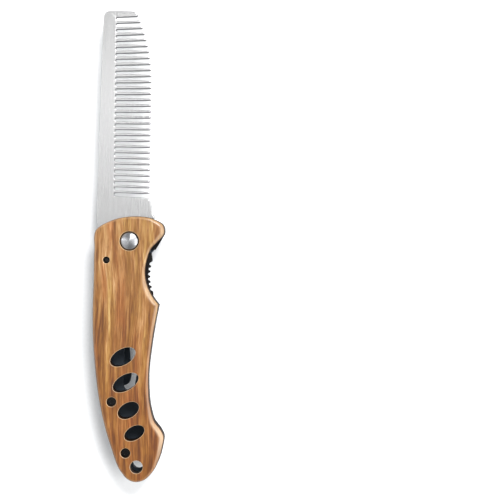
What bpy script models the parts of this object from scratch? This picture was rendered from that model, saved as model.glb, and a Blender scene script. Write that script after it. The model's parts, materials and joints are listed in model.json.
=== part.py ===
"""Folding comb, open and lying on its clip side with the wood up.

+Z is up, +Y runs from the handle to the comb's tip and the teeth point to +X. Lengths in the tables are
millimetres measured from the pivot axis; build_vector() turns them into metres in the part's own frame,
whose origin is the bottom centre of the whole comb.
"""

import math

import bmesh
import bpy
import numpy as np

MM = 0.001

# Where the pivot axis stands in the part's frame
PIVOT_X = 0.385
PIVOT_Y = 1.65

# Gap between pieces that touch on the real comb
GAP = 0.3

# Heights of the layers, counted up from the clip's outermost bulge
CLIP_THICKNESS = 1.2
FRAME_BACK = 4.2
FRAME_THICKNESS = 2.4
WASHER_THICKNESS = 0.7
COMB_THICKNESS = 2.0
LINER_THICKNESS = 1.0
WOOD_THICKNESS = 3.6
FRAME_FRONT = FRAME_BACK + FRAME_THICKNESS
WASHER_BACK = FRAME_FRONT + GAP
COMB_BACK = WASHER_BACK + WASHER_THICKNESS + GAP
COMB_FRONT = COMB_BACK + COMB_THICKNESS
LINER_BACK = COMB_FRONT + GAP
LINER_FRONT = LINER_BACK + LINER_THICKNESS
WOOD_BACK = LINER_FRONT + GAP
WOOD_FRONT = WOOD_BACK + WOOD_THICKNESS
CLIP_FACE = FRAME_BACK - GAP
# Floors of the counterbores for the pivot's dome, the wood screws and the frame screws
DOME_FLOOR = WOOD_BACK + 1.3
WOOD_SCREW_FLOOR = WOOD_BACK + 1.7
FRAME_SCREW_FLOOR = FRAME_BACK + 1.4

# Handle outline, clockwise seen from the wood side. edge is the width of the wood's rounded edge there.
# columns: x, y, edge
HANDLE_OUTLINE = [
    (-13.5, 4.4, 1.2),
    (-7.4, 8.2, 1.2),
    (1.2, 9.9, 1.2),
    (9.9, 8.7, 1.6),
    (13.6, 6.3, 2.2),
    (14.0, 2.9, 2.4),
    (11.4, -0.2, 2.0),
    (8.6, -3.2, 1.4),
    (7.0, -7.5, 1.2),
    (6.3, -12.4, 1.6),
    (7.3, -18.2, 2.4),
    (9.3, -22.2, 2.6),
    (11.8, -25.6, 2.0),
    (10.35, -32.9, 1.8),
    (8.9, -41.8, 1.4),
    (7.6, -56.0, 1.2),
    (8.7, -68.0, 1.8),
    (10.0, -72.3, 2.4),
    (12.6, -75.8, 3.0),
    (13.7, -78.0, 3.0),
    (13.3, -82.4, 2.6),
    (12.0, -87.2, 2.0),
    (9.1, -92.8, 1.4),
    (5.6, -96.0, 1.2),
    (2.3, -96.7, 1.2),
    (-0.9, -95.5, 1.2),
    (-3.3, -92.8, 1.2),
    (-7.7, -82.0, 1.2),
    (-12.1, -64.5, 1.2),
    (-14.0, -49.3, 1.2),
    (-14.8, -35.6, 1.2),
    (-14.4, -13.5, 1.2),
    (-14.15, -3.5, 1.2),
]
HANDLE_CORNERS = {(11.8, -25.6)}
EDGE_ANGLES = (0.0, 30.0, 60.0, 90.0)
WOOD_EDGE_DEPTH = 1.8
# How far the wood lies inside the liner
WOOD_INSET = 0.05
# The liner leaves the handle outline between these two points, where its lock bar shows in the notch
NOTCH_START = (14.0, 2.9)
NOTCH_END = (9.3, -22.2)
OUTLINE_STEP = 1.9
CURVE_STEP = 1.8

# The four slanted windows: x, y, length, width
WINDOWS = [
    (-2.6, -46.4, 11.1, 6.3),
    (-1.5, -56.7, 11.4, 6.2),
    (-0.4, -67.8, 9.2, 6.0),
    (2.0, -76.9, 8.7, 5.4),
]
WINDOW_TILT = math.radians(30.0)

# Lock bar: the slit that frees it runs from the notch to a blind end, and its thumb teeth show in the notch
SLIT_WIDTH = 0.9
SLIT_PATH = [(8.2, -4.3), (2.4, -5.2), (0.6, -7.0), (0.5, -14.0), (1.0, -22.0), (0.8, -28.6),
             (-0.6, -31.5), (-1.2, -35.0), (-1.4, -39.6)]
LINER_NOSE = [(12.5, 0.4), (10.15, -3.5)]
LOCK_BAR_TIP = [(8.5, -4.7), (8.85, -7.1), (8.9, -8.1)]
THUMB_TEETH = 6
THUMB_TOP = (7.7, -8.9)
THUMB_BOTTOM = (8.5, -21.2)
THUMB_DEPTH = 0.85
THUMB_BOW = 1.0
# One thumb tooth: share of the pitch, share of the depth
THUMB_SHAPE = [(0.0, 0.0), (0.28, 0.0), (0.55, 1.0), (0.80, 1.0)]

# Back frame: how far it lies inside the handle outline, how much lower its top is and over which y the drop
# grows, its rounded edge (narrower at the lobe), and its long slot
FRAME_INSET = 0.8
FRAME_TOP_DROP = 1.5
FRAME_DROP_START = 2.0
FRAME_DROP_END = 6.0
FRAME_EDGE_EXTRA = 0.4
FRAME_EDGE_DEPTH = 1.2
FRAME_LOBE_EDGE = 1.1
FRAME_LOBE_X = 8.0
FRAME_LOBE_Y = -4.0
LANYARD_STEP = 0.2
FRAME_SLOT = [(-1.5, -22.6), (1.2, -23.9), (2.2, -26.9), (1.5, -33.0), (1.4, -57.6), (0.7, -60.2),
              (-1.2, -61.3), (-3.1, -60.2), (-3.6, -57.6), (-3.2, -46.0), (-3.8, -35.0), (-4.3, -27.0),
              (-3.8, -23.8)]

# Pocket clip: its outline, its tapered window and the height of its inner face along y
CLIP_OUTLINE = [
    (10.8, 2.6), (6.5, 5.4), (1.9, 6.3), (-4.8, 5.9), (-8.1, 3.7), (-8.5, -1.1), (-8.3, -10.5), (-8.1, -22.6),
    (-8.2, -33.3), (-7.8, -48.7), (-7.4, -55.5), (-6.3, -58.3), (-3.9, -59.4), (-1.5, -58.3), (-0.5, -55.6),
    (-0.7, -50.2), (-1.2, -42.7), (-1.0, -35.3), (0.4, -24.7), (1.6, -18.1), (3.5, -12.4), (6.4, -6.5),
    (9.5, -3.0), (11.4, 0.1),
]
CLIP_WINDOW = [(-1.3, -14.2), (-1.0, -14.9), (-2.8, -22.0), (-4.05, -29.0), (-4.6, -36.0), (-4.4, -43.0),
               (-3.9, -49.5), (-4.1, -50.3), (-4.65, -50.7), (-5.2, -50.3), (-5.4, -49.5), (-6.2, -38.0),
               (-6.29, -27.4), (-6.3, -14.9), (-6.0, -14.2)]
# Flat plate, step away from the frame, long slope back to it, flared tip. Columns: y, height
CLIP_RISE = [(8.0, 3.9), (-5.5, 3.9), (-7.0, 3.55), (-8.5, 2.6), (-10.0, 1.65), (-11.5, 1.25), (-12.5, 1.2),
             (-16.5, 1.2), (-19.0, 1.35), (-24.0, 1.75), (-40.0, 2.95), (-52.0, 3.75), (-55.5, 3.85),
             (-60.0, 3.5)]

LANYARD_HOLE = (2.8, -90.5)
LANYARD_DIAMETER = 5.1
BODY_SCREWS = {"upper": (-7.2, -64.4), "lower": (-1.6, -84.9)}
CLIP_SCREWS = {"left": (-5.8, 0.1), "right": (6.1, -0.4)}
STOP_PIN = (-9.2, -7.6)

# Pivot and fasteners, all diameters
BARREL_DIAMETER = 5.0
BARREL_BORE = 3.6
DOME_DIAMETER = 6.8
DOME_SEAT = 7.8
DOME_HEIGHT = 0.9
DOME_RISE = 0.85
WASHER_DIAMETER = 10.0
PIVOT_SHANK = 3.0
CLIP_SHANK = 2.2
BODY_SHANK = 1.8
PILLAR_DIAMETER = 5.0
STOP_DIAMETER = 4.4
STOP_BACK_DIAMETER = 3.4
STOP_FRONT_DIAMETER = 2.1
STOP_PIN_RISE = 2.4
PIVOT_SCREW_HEAD = 5.6
CLIP_SCREW_HEAD = 4.5
WOOD_SCREW_HEAD = 3.3
FRAME_SCREW_HEAD = 2.8
STUD_DIAMETER = 3.2
STUD_SHANK = 1.6
STUD_SOCKET = 0.65
STUD_SOCKET_DEPTH = 0.45
STUD_HOLE_FLOOR = COMB_BACK + 1.2
STUDS = {"spine": (-10.4, 7.0), "teeth": (4.0, 11.0)}
# Share of the radius by which a six-lobed socket swings in and out
SOCKET_LOBE = 0.14

# Comb, drawn open
SLOT_COUNT = 31
SLOT_WIDTH = 1.46
FIRST_SLOT_Y = 90.25
FIRST_PITCH = 2.46
PITCH_CHANGE = 0.00239
SLOT_MIDDLE_X = 1.0
ROOT_X_TIP = -6.1
ROOT_X_HEEL = -7.0
SLOT_TILT_TIP = math.radians(-1.3)
SLOT_TILT_HEEL = math.radians(2.7)
TOOTH_LINE_X = 8.3
TOOTH_LINE_Y = 66.0
TOOTH_LINE_TAPER = 0.0175
TOOTH_LINE_CURVE = 0.0084
SWING = math.radians(174.0)
TANG_RADIUS = 7.2
STOP_RECESS_RADIUS = 2.55


def clean_scene():
    for old in list(bpy.context.scene.objects):
        bpy.data.objects.remove(old, do_unlink=True)


def build_vector(point, height):
    """Millimetres from the pivot axis to metres in the part's frame."""
    return ((point[0] + PIVOT_X) * MM, (point[1] + PIVOT_Y) * MM, height * MM)


def plain_material(name, colour, roughness, metallic):
    material = bpy.data.materials.new(name)
    material.use_nodes = True
    shader = material.node_tree.nodes["Principled BSDF"]
    shader.inputs["Base Color"].default_value = (*colour, 1.0)
    shader.inputs["Roughness"].default_value = roughness
    shader.inputs["Metallic"].default_value = metallic
    return material


# Outlines

def arc(centre, radius, start, end, steps):
    """Points on a circle from one angle to another, in degrees."""
    angles = np.radians(np.linspace(start, end, steps + 1))
    return [(centre[0] + radius * math.cos(a), centre[1] + radius * math.sin(a)) for a in angles]


def circle(centre, diameter, sides=18):
    return arc(centre, diameter / 2, 0.0, 360.0 - 360.0 / sides, sides - 1)


def ellipse(centre, length, width, tilt, sides=20):
    points = []
    for a in np.linspace(0.0, math.tau, sides, endpoint=False):
        along = length / 2 * math.cos(a)
        across = width / 2 * math.sin(a)
        points.append((
            centre[0] + along * math.cos(tilt) - across * math.sin(tilt),
            centre[1] + along * math.sin(tilt) + across * math.cos(tilt),
        ))
    return points


def smooth_curve(points, closed, step, corners=()):
    """A smooth curve through the points, which may hold more than two columns; corners stay sharp."""
    rows = [np.array(p, dtype=float) for p in points]
    count = len(rows)
    spans = count if closed else count - 1
    lengths = [np.linalg.norm(rows[(i + 1) % count][:2] - rows[i][:2]) for i in range(spans)]
    slopes = [(rows[(i + 1) % count] - rows[i]) / lengths[i] for i in range(spans)]

    def heading(point, span):
        """The curve's slope at a point, for the span that starts or ends there."""
        if tuple(rows[point][:2]) in corners or (not closed and point in (0, count - 1)):
            return slopes[span]
        before, after = (point - 1) % spans, point % spans
        whole = lengths[before] + lengths[after]
        return (slopes[before] * lengths[after] + slopes[after] * lengths[before]) / whole

    result = []
    for i in range(spans):
        here, after = rows[i], rows[(i + 1) % count]
        leave = heading(i, i) * lengths[i]
        arrive = heading((i + 1) % count, i) * lengths[i]
        turns = max(1, round(lengths[i] / step))
        for k in range(turns):
            t = k / turns
            result.append(
                (2 * t**3 - 3 * t**2 + 1) * here
                + (t**3 - 2 * t**2 + t) * leave
                + (3 * t**2 - 2 * t**3) * after
                + (t**3 - t**2) * arrive
            )
    if not closed:
        result.append(rows[-1])
    return result


def inset(loop, widths):
    """Moves each point of a clockwise loop inwards by its own width."""
    points = [np.array(p[:2], dtype=float) for p in loop]
    moved = []
    for i, here in enumerate(points):
        before = here - points[i - 1]
        after = points[(i + 1) % len(points)] - here
        sides = [np.array((v[1], -v[0])) / np.linalg.norm(v) for v in (before, after)]
        middle = sides[0] + sides[1]
        middle /= np.linalg.norm(middle)
        reach = widths[i] / max(0.5, float(np.dot(middle, sides[0])))
        moved.append(tuple(here + middle * reach))
    return moved


def handle_outline():
    """The handle outline as rows of x, y and edge width."""
    return smooth_curve(HANDLE_OUTLINE, True, OUTLINE_STEP, HANDLE_CORNERS)


# Solids

def finish_object(name, bm, material, smooth_angle=35.0):
    """Turns a bmesh in millimetres into a named object with its faces pointing out."""
    bmesh.ops.recalc_face_normals(bm, faces=bm.faces)
    mesh = bpy.data.meshes.new(name)
    bm.to_mesh(mesh)
    bm.free()
    mesh.shade_smooth()
    mesh.set_sharp_from_angle(angle=math.radians(smooth_angle))
    mesh.materials.append(material)
    obj = bpy.data.objects.new(name, mesh)
    bpy.context.scene.collection.objects.link(obj)
    return obj


def add_ring(bm, loop, height):
    """One ring of vertices; height is one number, or one for each point."""
    heights = height if isinstance(height, list) else [height] * len(loop)
    return [bm.verts.new(build_vector(p, h)) for p, h in zip(loop, heights)]


def join_rings(bm, low, high):
    count = len(low)
    for i in range(count):
        j = (i + 1) % count
        bm.faces.new((low[i], low[j], high[j], high[i]))


def fill_between(bm, rings):
    """Fills the flat region between an outer ring and the rings inside it."""
    edges = []
    for ring in rings:
        for i, vert in enumerate(ring):
            pair = (vert, ring[(i + 1) % len(ring)])
            edges.append(bm.edges.get(pair) or bm.edges.new(pair))
    bmesh.ops.triangle_fill(bm, use_beauty=True, use_dissolve=False, edges=edges)


def layered_plate(name, outer, through, material, pockets=(), smooth_angle=35.0):
    """A plate whose walls follow stacks of rings.

    outer and each entry of through are stacks: lists of (loop, height) from the back face to the front face.
    Each pocket is a stack that starts on the back face and ends in a flat floor.
    """
    bm = bmesh.new()
    back, front = [], []
    for stack in [outer, *through, *pockets]:
        rings = [add_ring(bm, loop, height) for loop, height in stack]
        for low, high in zip(rings, rings[1:]):
            join_rings(bm, low, high)
        back.append(rings[0])
        if any(stack is p for p in pockets):
            bm.faces.new(rings[-1])
        else:
            front.append(rings[-1])
    fill_between(bm, back)
    fill_between(bm, front)
    return finish_object(name, bm, material, smooth_angle)


def straight(loop, back, front):
    return [(loop, back), (loop, front)]


def stepped(centre, steps, sides=18):
    """A round hole whose diameter changes at each step: rows of diameter and height."""
    return [(circle(centre, diameter, sides), height) for diameter, height in steps]


def turned(name, centre, profile, material, sides=24):
    """A turned solid from profile rows of radius and height, which may end in a lobe for a six-lobed socket.

    Radius 0 is a point on the axis. A profile that starts off the axis closes on itself, as a washer does.
    """
    bm = bmesh.new()
    rings = []
    for radius, height, *lobe in profile:
        if radius == 0:
            rings.append([bm.verts.new(build_vector(centre, height))])
            continue
        loop = []
        for a in np.linspace(0.0, math.tau, sides, endpoint=False):
            reach = radius * (1 + sum(lobe) * math.cos(6 * a))
            loop.append((centre[0] + reach * math.cos(a), centre[1] + reach * math.sin(a)))
        rings.append(add_ring(bm, loop, height))
    pairs = list(zip(rings, rings[1:]))
    if profile[0][0] != 0:
        pairs.append((rings[-1], rings[0]))
    for low, high in pairs:
        if len(low) == 1 or len(high) == 1:
            point, ring = (low[0], high) if len(low) == 1 else (high[0], low)
            for i in range(sides):
                bm.faces.new((point, ring[i], ring[(i + 1) % sides]))
        else:
            join_rings(bm, low, high)
    return finish_object(name, bm, material)


# Wood, liner and frame

def rounded_edge(outline, widths, depths, face, towards):
    """Rings of a quarter-round edge, from its side to the flat face; towards is 1 for a face that looks up."""
    rings = []
    for angle in EDGE_ANGLES:
        inward = 1 - math.cos(math.radians(angle))
        short = 1 - math.sin(math.radians(angle))
        loop = inset(outline, [w * inward for w in widths])
        rings.append((loop, [face - towards * d * short for d in depths]))
    return rings


def wood_scale(material):
    rows = handle_outline()
    outline = inset(rows, [WOOD_INSET] * len(rows))
    widths = [row[2] for row in rows]
    depths = [min(WOOD_EDGE_DEPTH, 0.75 * w) for w in widths]
    outer = [(outline, WOOD_BACK), *rounded_edge(outline, widths, depths, WOOD_FRONT, 1)]
    return layered_plate("wood_scale", outer, wood_holes(), material, smooth_angle=50.0)


def wood_holes():
    barrel_hole = BARREL_DIAMETER + 2 * GAP
    shank_hole = BODY_SHANK + 2 * GAP
    head_hole = WOOD_SCREW_HEAD + 2 * GAP
    holes = [straight(ellipse((x, y), length, width, WINDOW_TILT), WOOD_BACK, WOOD_FRONT)
             for x, y, length, width in WINDOWS]
    holes.append(stepped((0, 0), [
        (barrel_hole, WOOD_BACK), (barrel_hole, DOME_FLOOR), (DOME_SEAT, DOME_FLOOR), (DOME_SEAT, WOOD_FRONT),
    ], 24))
    for centre in BODY_SCREWS.values():
        holes.append(stepped(centre, [
            (shank_hole, WOOD_BACK), (shank_hole, WOOD_SCREW_FLOOR),
            (head_hole, WOOD_SCREW_FLOOR), (head_hole, WOOD_FRONT),
        ]))
    holes.append(straight(circle(STOP_PIN, STOP_FRONT_DIAMETER + 2 * GAP), WOOD_BACK, WOOD_FRONT))
    holes.append(straight(circle(LANYARD_HOLE, LANYARD_DIAMETER), WOOD_BACK, WOOD_FRONT))
    return holes


def liner_outline():
    """The handle outline with the lock bar, its slit and the thumb teeth showing in the notch."""
    rows = handle_outline()
    points = [tuple(row[:2]) for row in rows]
    start = min(range(len(points)), key=lambda i: math.dist(points[i], NOTCH_START))
    end = min(range(len(points)), key=lambda i: math.dist(points[i], NOTCH_END))
    slit = smooth_curve(SLIT_PATH, False, 2 * CURVE_STEP)
    left = slit_side(slit, 1)
    right = slit_side(slit, -1)
    tip = slit[-1]
    before = slit[-2]
    heading = math.degrees(math.atan2(tip[1] - before[1], tip[0] - before[0]))
    turn = arc(tip[:2], SLIT_WIDTH / 2, heading - 90.0, heading + 90.0, 4)[1:-1]
    return (points[:start + 1] + LINER_NOSE + right + turn + left[::-1]
            + LOCK_BAR_TIP + thumb_teeth() + points[end:])


def slit_side(path, side):
    """One edge of the slit, on the left (1) or right (-1) of its travel."""
    points = []
    for i, here in enumerate(path):
        run = path[min(i + 1, len(path) - 1)] - path[max(i - 1, 0)]
        run = run / np.linalg.norm(run)
        points.append((here[0] - side * run[1] * SLIT_WIDTH / 2, here[1] + side * run[0] * SLIT_WIDTH / 2))
    return points


def thumb_teeth():
    """The saw-like thumb notches along a shallow hollow of the lock bar."""
    points = []
    for k in range(THUMB_TEETH):
        for share, rise in THUMB_SHAPE:
            t = (k + share) / THUMB_TEETH
            x = THUMB_TOP[0] + (THUMB_BOTTOM[0] - THUMB_TOP[0]) * t - THUMB_BOW * math.sin(math.pi * t)
            y = THUMB_TOP[1] + (THUMB_BOTTOM[1] - THUMB_TOP[1]) * t
            points.append((x + THUMB_DEPTH * rise, y))
    return points


def lock_liner(material):
    loop = liner_outline()
    shank_hole = BODY_SHANK + 2 * GAP
    holes = [ellipse((x, y), length, width, WINDOW_TILT) for x, y, length, width in WINDOWS]
    holes.append(circle((0, 0), BARREL_DIAMETER + 2 * GAP, 24))
    holes += [circle(centre, shank_hole) for centre in BODY_SCREWS.values()]
    holes.append(circle(STOP_PIN, STOP_FRONT_DIAMETER + 2 * GAP))
    holes.append(circle(LANYARD_HOLE, LANYARD_DIAMETER))
    return layered_plate(
        "lock_liner",
        straight(loop, LINER_BACK, LINER_FRONT),
        [straight(hole, LINER_BACK, LINER_FRONT) for hole in holes],
        material,
    )


def frame_outline():
    """The frame's outline and the width of its rounded edge at each point."""
    rows = handle_outline()
    loop = inset(rows, [FRAME_INSET] * len(rows))
    lowered = []
    for x, y in loop:
        share = min(1.0, max(0.0, (y - FRAME_DROP_START) / (FRAME_DROP_END - FRAME_DROP_START)))
        lowered.append((x, y - FRAME_TOP_DROP * share))
    widths = []
    for x, y, edge in rows:
        at_lobe = x > FRAME_LOBE_X and y > FRAME_LOBE_Y
        widths.append(FRAME_LOBE_EDGE if at_lobe else edge + FRAME_EDGE_EXTRA)
    return lowered, widths


def back_frame(material):
    loop, widths = frame_outline()
    depths = [FRAME_EDGE_DEPTH] * len(loop)
    outer = [*reversed(rounded_edge(loop, widths, depths, FRAME_BACK, -1)), (loop, FRAME_FRONT)]
    shank_hole = BODY_SHANK + 2 * GAP
    head_hole = FRAME_SCREW_HEAD + 2 * GAP
    holes = [straight([p[:2] for p in smooth_curve(FRAME_SLOT, True, CURVE_STEP)], FRAME_BACK, FRAME_FRONT)]
    holes.append(stepped((0, 0), straight_steps(BARREL_DIAMETER + 2 * GAP), 24))
    for centre in CLIP_SCREWS.values():
        holes.append(stepped(centre, straight_steps(CLIP_SHANK + 2 * GAP)))
    holes.append(stepped(STOP_PIN, straight_steps(STOP_BACK_DIAMETER + 2 * GAP)))
    holes.append(stepped(LANYARD_HOLE, straight_steps(LANYARD_DIAMETER - LANYARD_STEP)))
    for centre in BODY_SCREWS.values():
        holes.append(stepped(centre, [
            (head_hole, FRAME_BACK), (head_hole, FRAME_SCREW_FLOOR),
            (shank_hole, FRAME_SCREW_FLOOR), (shank_hole, FRAME_FRONT),
        ]))
    return layered_plate("back_frame", outer, holes, material)


def straight_steps(diameter):
    return [(diameter, FRAME_BACK), (diameter, FRAME_FRONT)]


# Pocket clip

def clip_height(y):
    """The inner face's height at this y, straight between the rows of CLIP_RISE."""
    ys = [row[0] for row in CLIP_RISE][::-1]
    zs = [row[1] for row in CLIP_RISE][::-1]
    return float(np.interp(y, ys, zs))


def pocket_clip(material):
    bm = bmesh.new()
    outline = [p[:2] for p in smooth_curve(CLIP_OUTLINE, True, CURVE_STEP)]
    window = [p[:2] for p in smooth_curve(CLIP_WINDOW, True, 2 * CURVE_STEP)]
    loops = [outline, window, circle((0, 0), PIVOT_SHANK + 2 * GAP)]
    loops += [circle(centre, CLIP_SHANK + 2 * GAP) for centre in CLIP_SCREWS.values()]
    rings = [add_ring(bm, loop, 0.0) for loop in loops]
    fill_between(bm, rings)
    # Cross cuts where the strip bends, so that it can follow the rise
    for y, _ in CLIP_RISE[1:-1]:
        bmesh.ops.bisect_plane(
            bm, geom=bm.verts[:] + bm.edges[:] + bm.faces[:], dist=1e-7,
            plane_co=build_vector((0, y), 0.0), plane_no=(0, 1, 0),
        )
    inner = list(bm.faces)
    extruded = bmesh.ops.extrude_face_region(bm, geom=inner)
    outer = [item for item in extruded["geom"] if isinstance(item, bmesh.types.BMVert)]
    inner_verts = set(bm.verts) - set(outer)
    for vert in inner_verts:
        vert.co.z = clip_height(vert.co.y / MM - PIVOT_Y) * MM
    for vert in outer:
        vert.co.z = (clip_height(vert.co.y / MM - PIVOT_Y) - CLIP_THICKNESS) * MM
    bmesh.ops.triangulate(bm, faces=bm.faces)
    return finish_object("pocket_clip", bm, material)


# Comb

def slot_line(i):
    """Middle height, direction and root of slot i, counted from the tip."""
    share = i / (SLOT_COUNT - 1)
    y = FIRST_SLOT_Y - FIRST_PITCH * i + PITCH_CHANGE * i * i
    tilt = SLOT_TILT_TIP + (SLOT_TILT_HEEL - SLOT_TILT_TIP) * share
    root = ROOT_X_TIP + (ROOT_X_HEEL - ROOT_X_TIP) * share
    return y, tilt, root


def tooth_line(y):
    """x of the tooth tips: a slow taper to the heel and a curve towards the comb's tip."""
    if y > TOOTH_LINE_Y:
        return TOOTH_LINE_X - TOOTH_LINE_CURVE * (y - TOOTH_LINE_Y) ** 2
    return TOOTH_LINE_X - TOOTH_LINE_TAPER * (TOOTH_LINE_Y - y)


def slot_edge(i, x, side):
    """A point on the upper (1) or lower (-1) edge of slot i at this x."""
    y, tilt, _ = slot_line(i)
    return (x, y - (x - SLOT_MIDDLE_X) * math.tan(tilt) + side * SLOT_WIDTH / 2 / math.cos(tilt))


def slot_root(i):
    """The round root of slot i, from its upper edge to its lower edge."""
    y, tilt, root = slot_line(i)
    centre_x = root + SLOT_WIDTH / 2
    centre = (centre_x, y - (centre_x - SLOT_MIDDLE_X) * math.tan(tilt))
    turn = math.degrees(tilt)
    return arc(centre, SLOT_WIDTH / 2, 90.0 - turn, 270.0 - turn, 5)


def tooth_tip(i):
    """The round end of the tooth below slot i, from its upper corner to its lower one."""
    y, tilt, _ = slot_line(i)
    below = slot_line(i + 1)[0]
    reach = tooth_line((y + below) / 2)
    upper = slot_edge(i, reach, -1)
    lower = slot_edge(i + 1, reach, 1)
    radius = (upper[1] - lower[1]) / 2
    centre_x = reach - radius
    centre = (centre_x, (slot_edge(i, centre_x, -1)[1] + slot_edge(i + 1, centre_x, 1)[1]) / 2)
    turn = math.degrees(tilt)
    return arc(centre, radius, 90.0 - turn, -90.0 - turn, 4)


def stop_recess():
    """The hollow of the tang that meets the stop pin when the comb is folded in."""
    turned_back = (
        STOP_PIN[0] * math.cos(SWING) - STOP_PIN[1] * math.sin(SWING),
        STOP_PIN[0] * math.sin(SWING) + STOP_PIN[1] * math.cos(SWING),
    )
    return arc(turned_back, STOP_RECESS_RADIUS, 100.0, 232.0, 6)


def comb_outline():
    """Clockwise from the spine's heel: spine, tip, teeth, heel, stop recess and tang."""
    points = [(-13.85, 9.7), (-13.2, 30.0), (-12.5, 50.0), (-11.8, 70.0), (-11.1, 89.6)]
    points += arc((-8.4, 90.7), 2.65, 170.0, 97.0, 4)
    points += [(-4.0, 93.4), (0.6, 93.2)]
    points += arc((1.75, 91.95), 1.15, 82.0, -20.0, 4)
    points.append(slot_edge(0, 2.4, 1))
    for i in range(SLOT_COUNT):
        points += slot_root(i)
        if i < SLOT_COUNT - 1:
            points += tooth_tip(i)
    points.append(slot_edge(SLOT_COUNT - 1, 7.3, -1))
    points += [(7.9, 16.2), (8.4, 14.0), (8.56, 11.2), (9.0, 10.8), (9.4, 10.3), (9.5, 9.6)]
    points += stop_recess()
    points += arc((0, 0), TANG_RADIUS, 6.0, -78.0, 7)
    points += [(-4.5, -5.35), (-8.6, -5.1), (-10.6, -4.7), (-11.8, -3.9), (-12.5, -2.4), (-12.8, 0.7)]
    return points


def stud_holes():
    diameter = STUD_SHANK + 2 * GAP
    return [straight(circle(centre, diameter, 12), COMB_BACK, STUD_HOLE_FLOOR) for centre in STUDS.values()]


def comb(material, pivot):
    bore = straight(circle((0, 0), BARREL_DIAMETER + 2 * GAP, 24), COMB_BACK, COMB_FRONT)
    outline = straight(comb_outline(), COMB_BACK, COMB_FRONT)
    obj = layered_plate("comb", outline, [bore], material, stud_holes())
    swing_about(obj, pivot)
    return obj


def swing_about(obj, pivot):
    """Puts the object's origin on the pivot axis and hangs it on the pivot empty."""
    shift = pivot.location.copy()
    for vert in obj.data.vertices:
        vert.co -= shift
    obj.parent = pivot


# Turned pieces

def pivot_barrel(material):
    radius = BARREL_DIAMETER / 2
    head = DOME_DIAMETER / 2
    bottom = FRAME_BACK + GAP
    bore_top = LINER_BACK
    shoulder = DOME_FLOOR + GAP
    rim = WOOD_FRONT + DOME_RISE - DOME_HEIGHT
    profile = [
        (0, bore_top), (BARREL_BORE / 2, bore_top), (BARREL_BORE / 2, bottom), (radius, bottom),
        (radius, shoulder), (head, shoulder), (head, rim),
    ]
    for angle in (25.0, 45.0, 65.0, 80.0):
        a = math.radians(angle)
        profile.append((head * math.cos(a), rim + DOME_HEIGHT * math.sin(a)))
    profile.append((0, rim + DOME_HEIGHT))
    return turned("pivot_barrel", (0, 0), profile, material)


def pivot_washer(material):
    outer = WASHER_DIAMETER / 2
    bore = BARREL_DIAMETER / 2 + GAP
    top = WASHER_BACK + WASHER_THICKNESS
    profile = [(bore, WASHER_BACK), (outer, WASHER_BACK), (outer, top), (bore, top)]
    return turned("pivot_washer", (0, 0), profile, material)


def button_screw(name, centre, head, height, seat, shank, end, socket, material, sides):
    """A button-head screw that points up (+Z): its dome faces down and its shank runs to end."""
    radius = head / 2
    top = seat - height
    floor = top + 0.6 * height
    profile = [
        (0, floor), (socket, floor, SOCKET_LOBE), (socket, top, SOCKET_LOBE),
        (radius * 0.72, top + 0.10 * height), (radius * 0.93, top + 0.40 * height),
        (radius, top + 0.75 * height), (radius, seat), (shank / 2, seat), (shank / 2, end), (0, end),
    ]
    return turned(name, centre, profile, material, sides)


def flat_screw(name, centre, head, top, seat, shank, end, socket, material):
    """A flat-head screw between two heights; top may lie above or below the seat."""
    floor = top + (seat - top) * 0.6
    profile = [
        (0, floor), (socket, floor, SOCKET_LOBE), (socket, top, SOCKET_LOBE), (head / 2, top), (head / 2, seat),
        (shank / 2, seat), (shank / 2, end), (0, end),
    ]
    return turned(name, centre, profile, material, 18)


def stop_pin(material):
    radii = [STOP_BACK_DIAMETER / 2, STOP_DIAMETER / 2, STOP_FRONT_DIAMETER / 2]
    heights = [FRAME_BACK + GAP, FRAME_FRONT + GAP, LINER_BACK - GAP, WOOD_BACK + STOP_PIN_RISE]
    profile = [(0, heights[0])]
    for k, radius in enumerate(radii):
        profile += [(radius, heights[k]), (radius, heights[k + 1])]
    profile.append((0, heights[3]))
    return turned("stop_pin", STOP_PIN, profile, material, 20)


def pillar(name, centre, material):
    outer = PILLAR_DIAMETER / 2
    bore = BODY_SHANK / 2 + GAP
    low = FRAME_FRONT + GAP
    high = LINER_BACK - GAP
    profile = [(bore, low), (outer, low), (outer, high), (bore, high)]
    return turned(name, centre, profile, material, 20)


def stud(name, centre, material, pivot):
    low = WASHER_BACK
    seat = COMB_BACK - GAP
    end = STUD_HOLE_FLOOR - GAP
    radius = STUD_DIAMETER / 2
    profile = [
        (0, low + STUD_SOCKET_DEPTH), (STUD_SOCKET, low + STUD_SOCKET_DEPTH, SOCKET_LOBE),
        (STUD_SOCKET, low, SOCKET_LOBE), (radius * 0.85, low),
        (radius, low + 0.2), (radius, seat), (STUD_SHANK / 2, seat), (STUD_SHANK / 2, end), (0, end),
    ]
    obj = turned(name, centre, profile, material, 18)
    swing_about(obj, pivot)
    return obj


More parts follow.
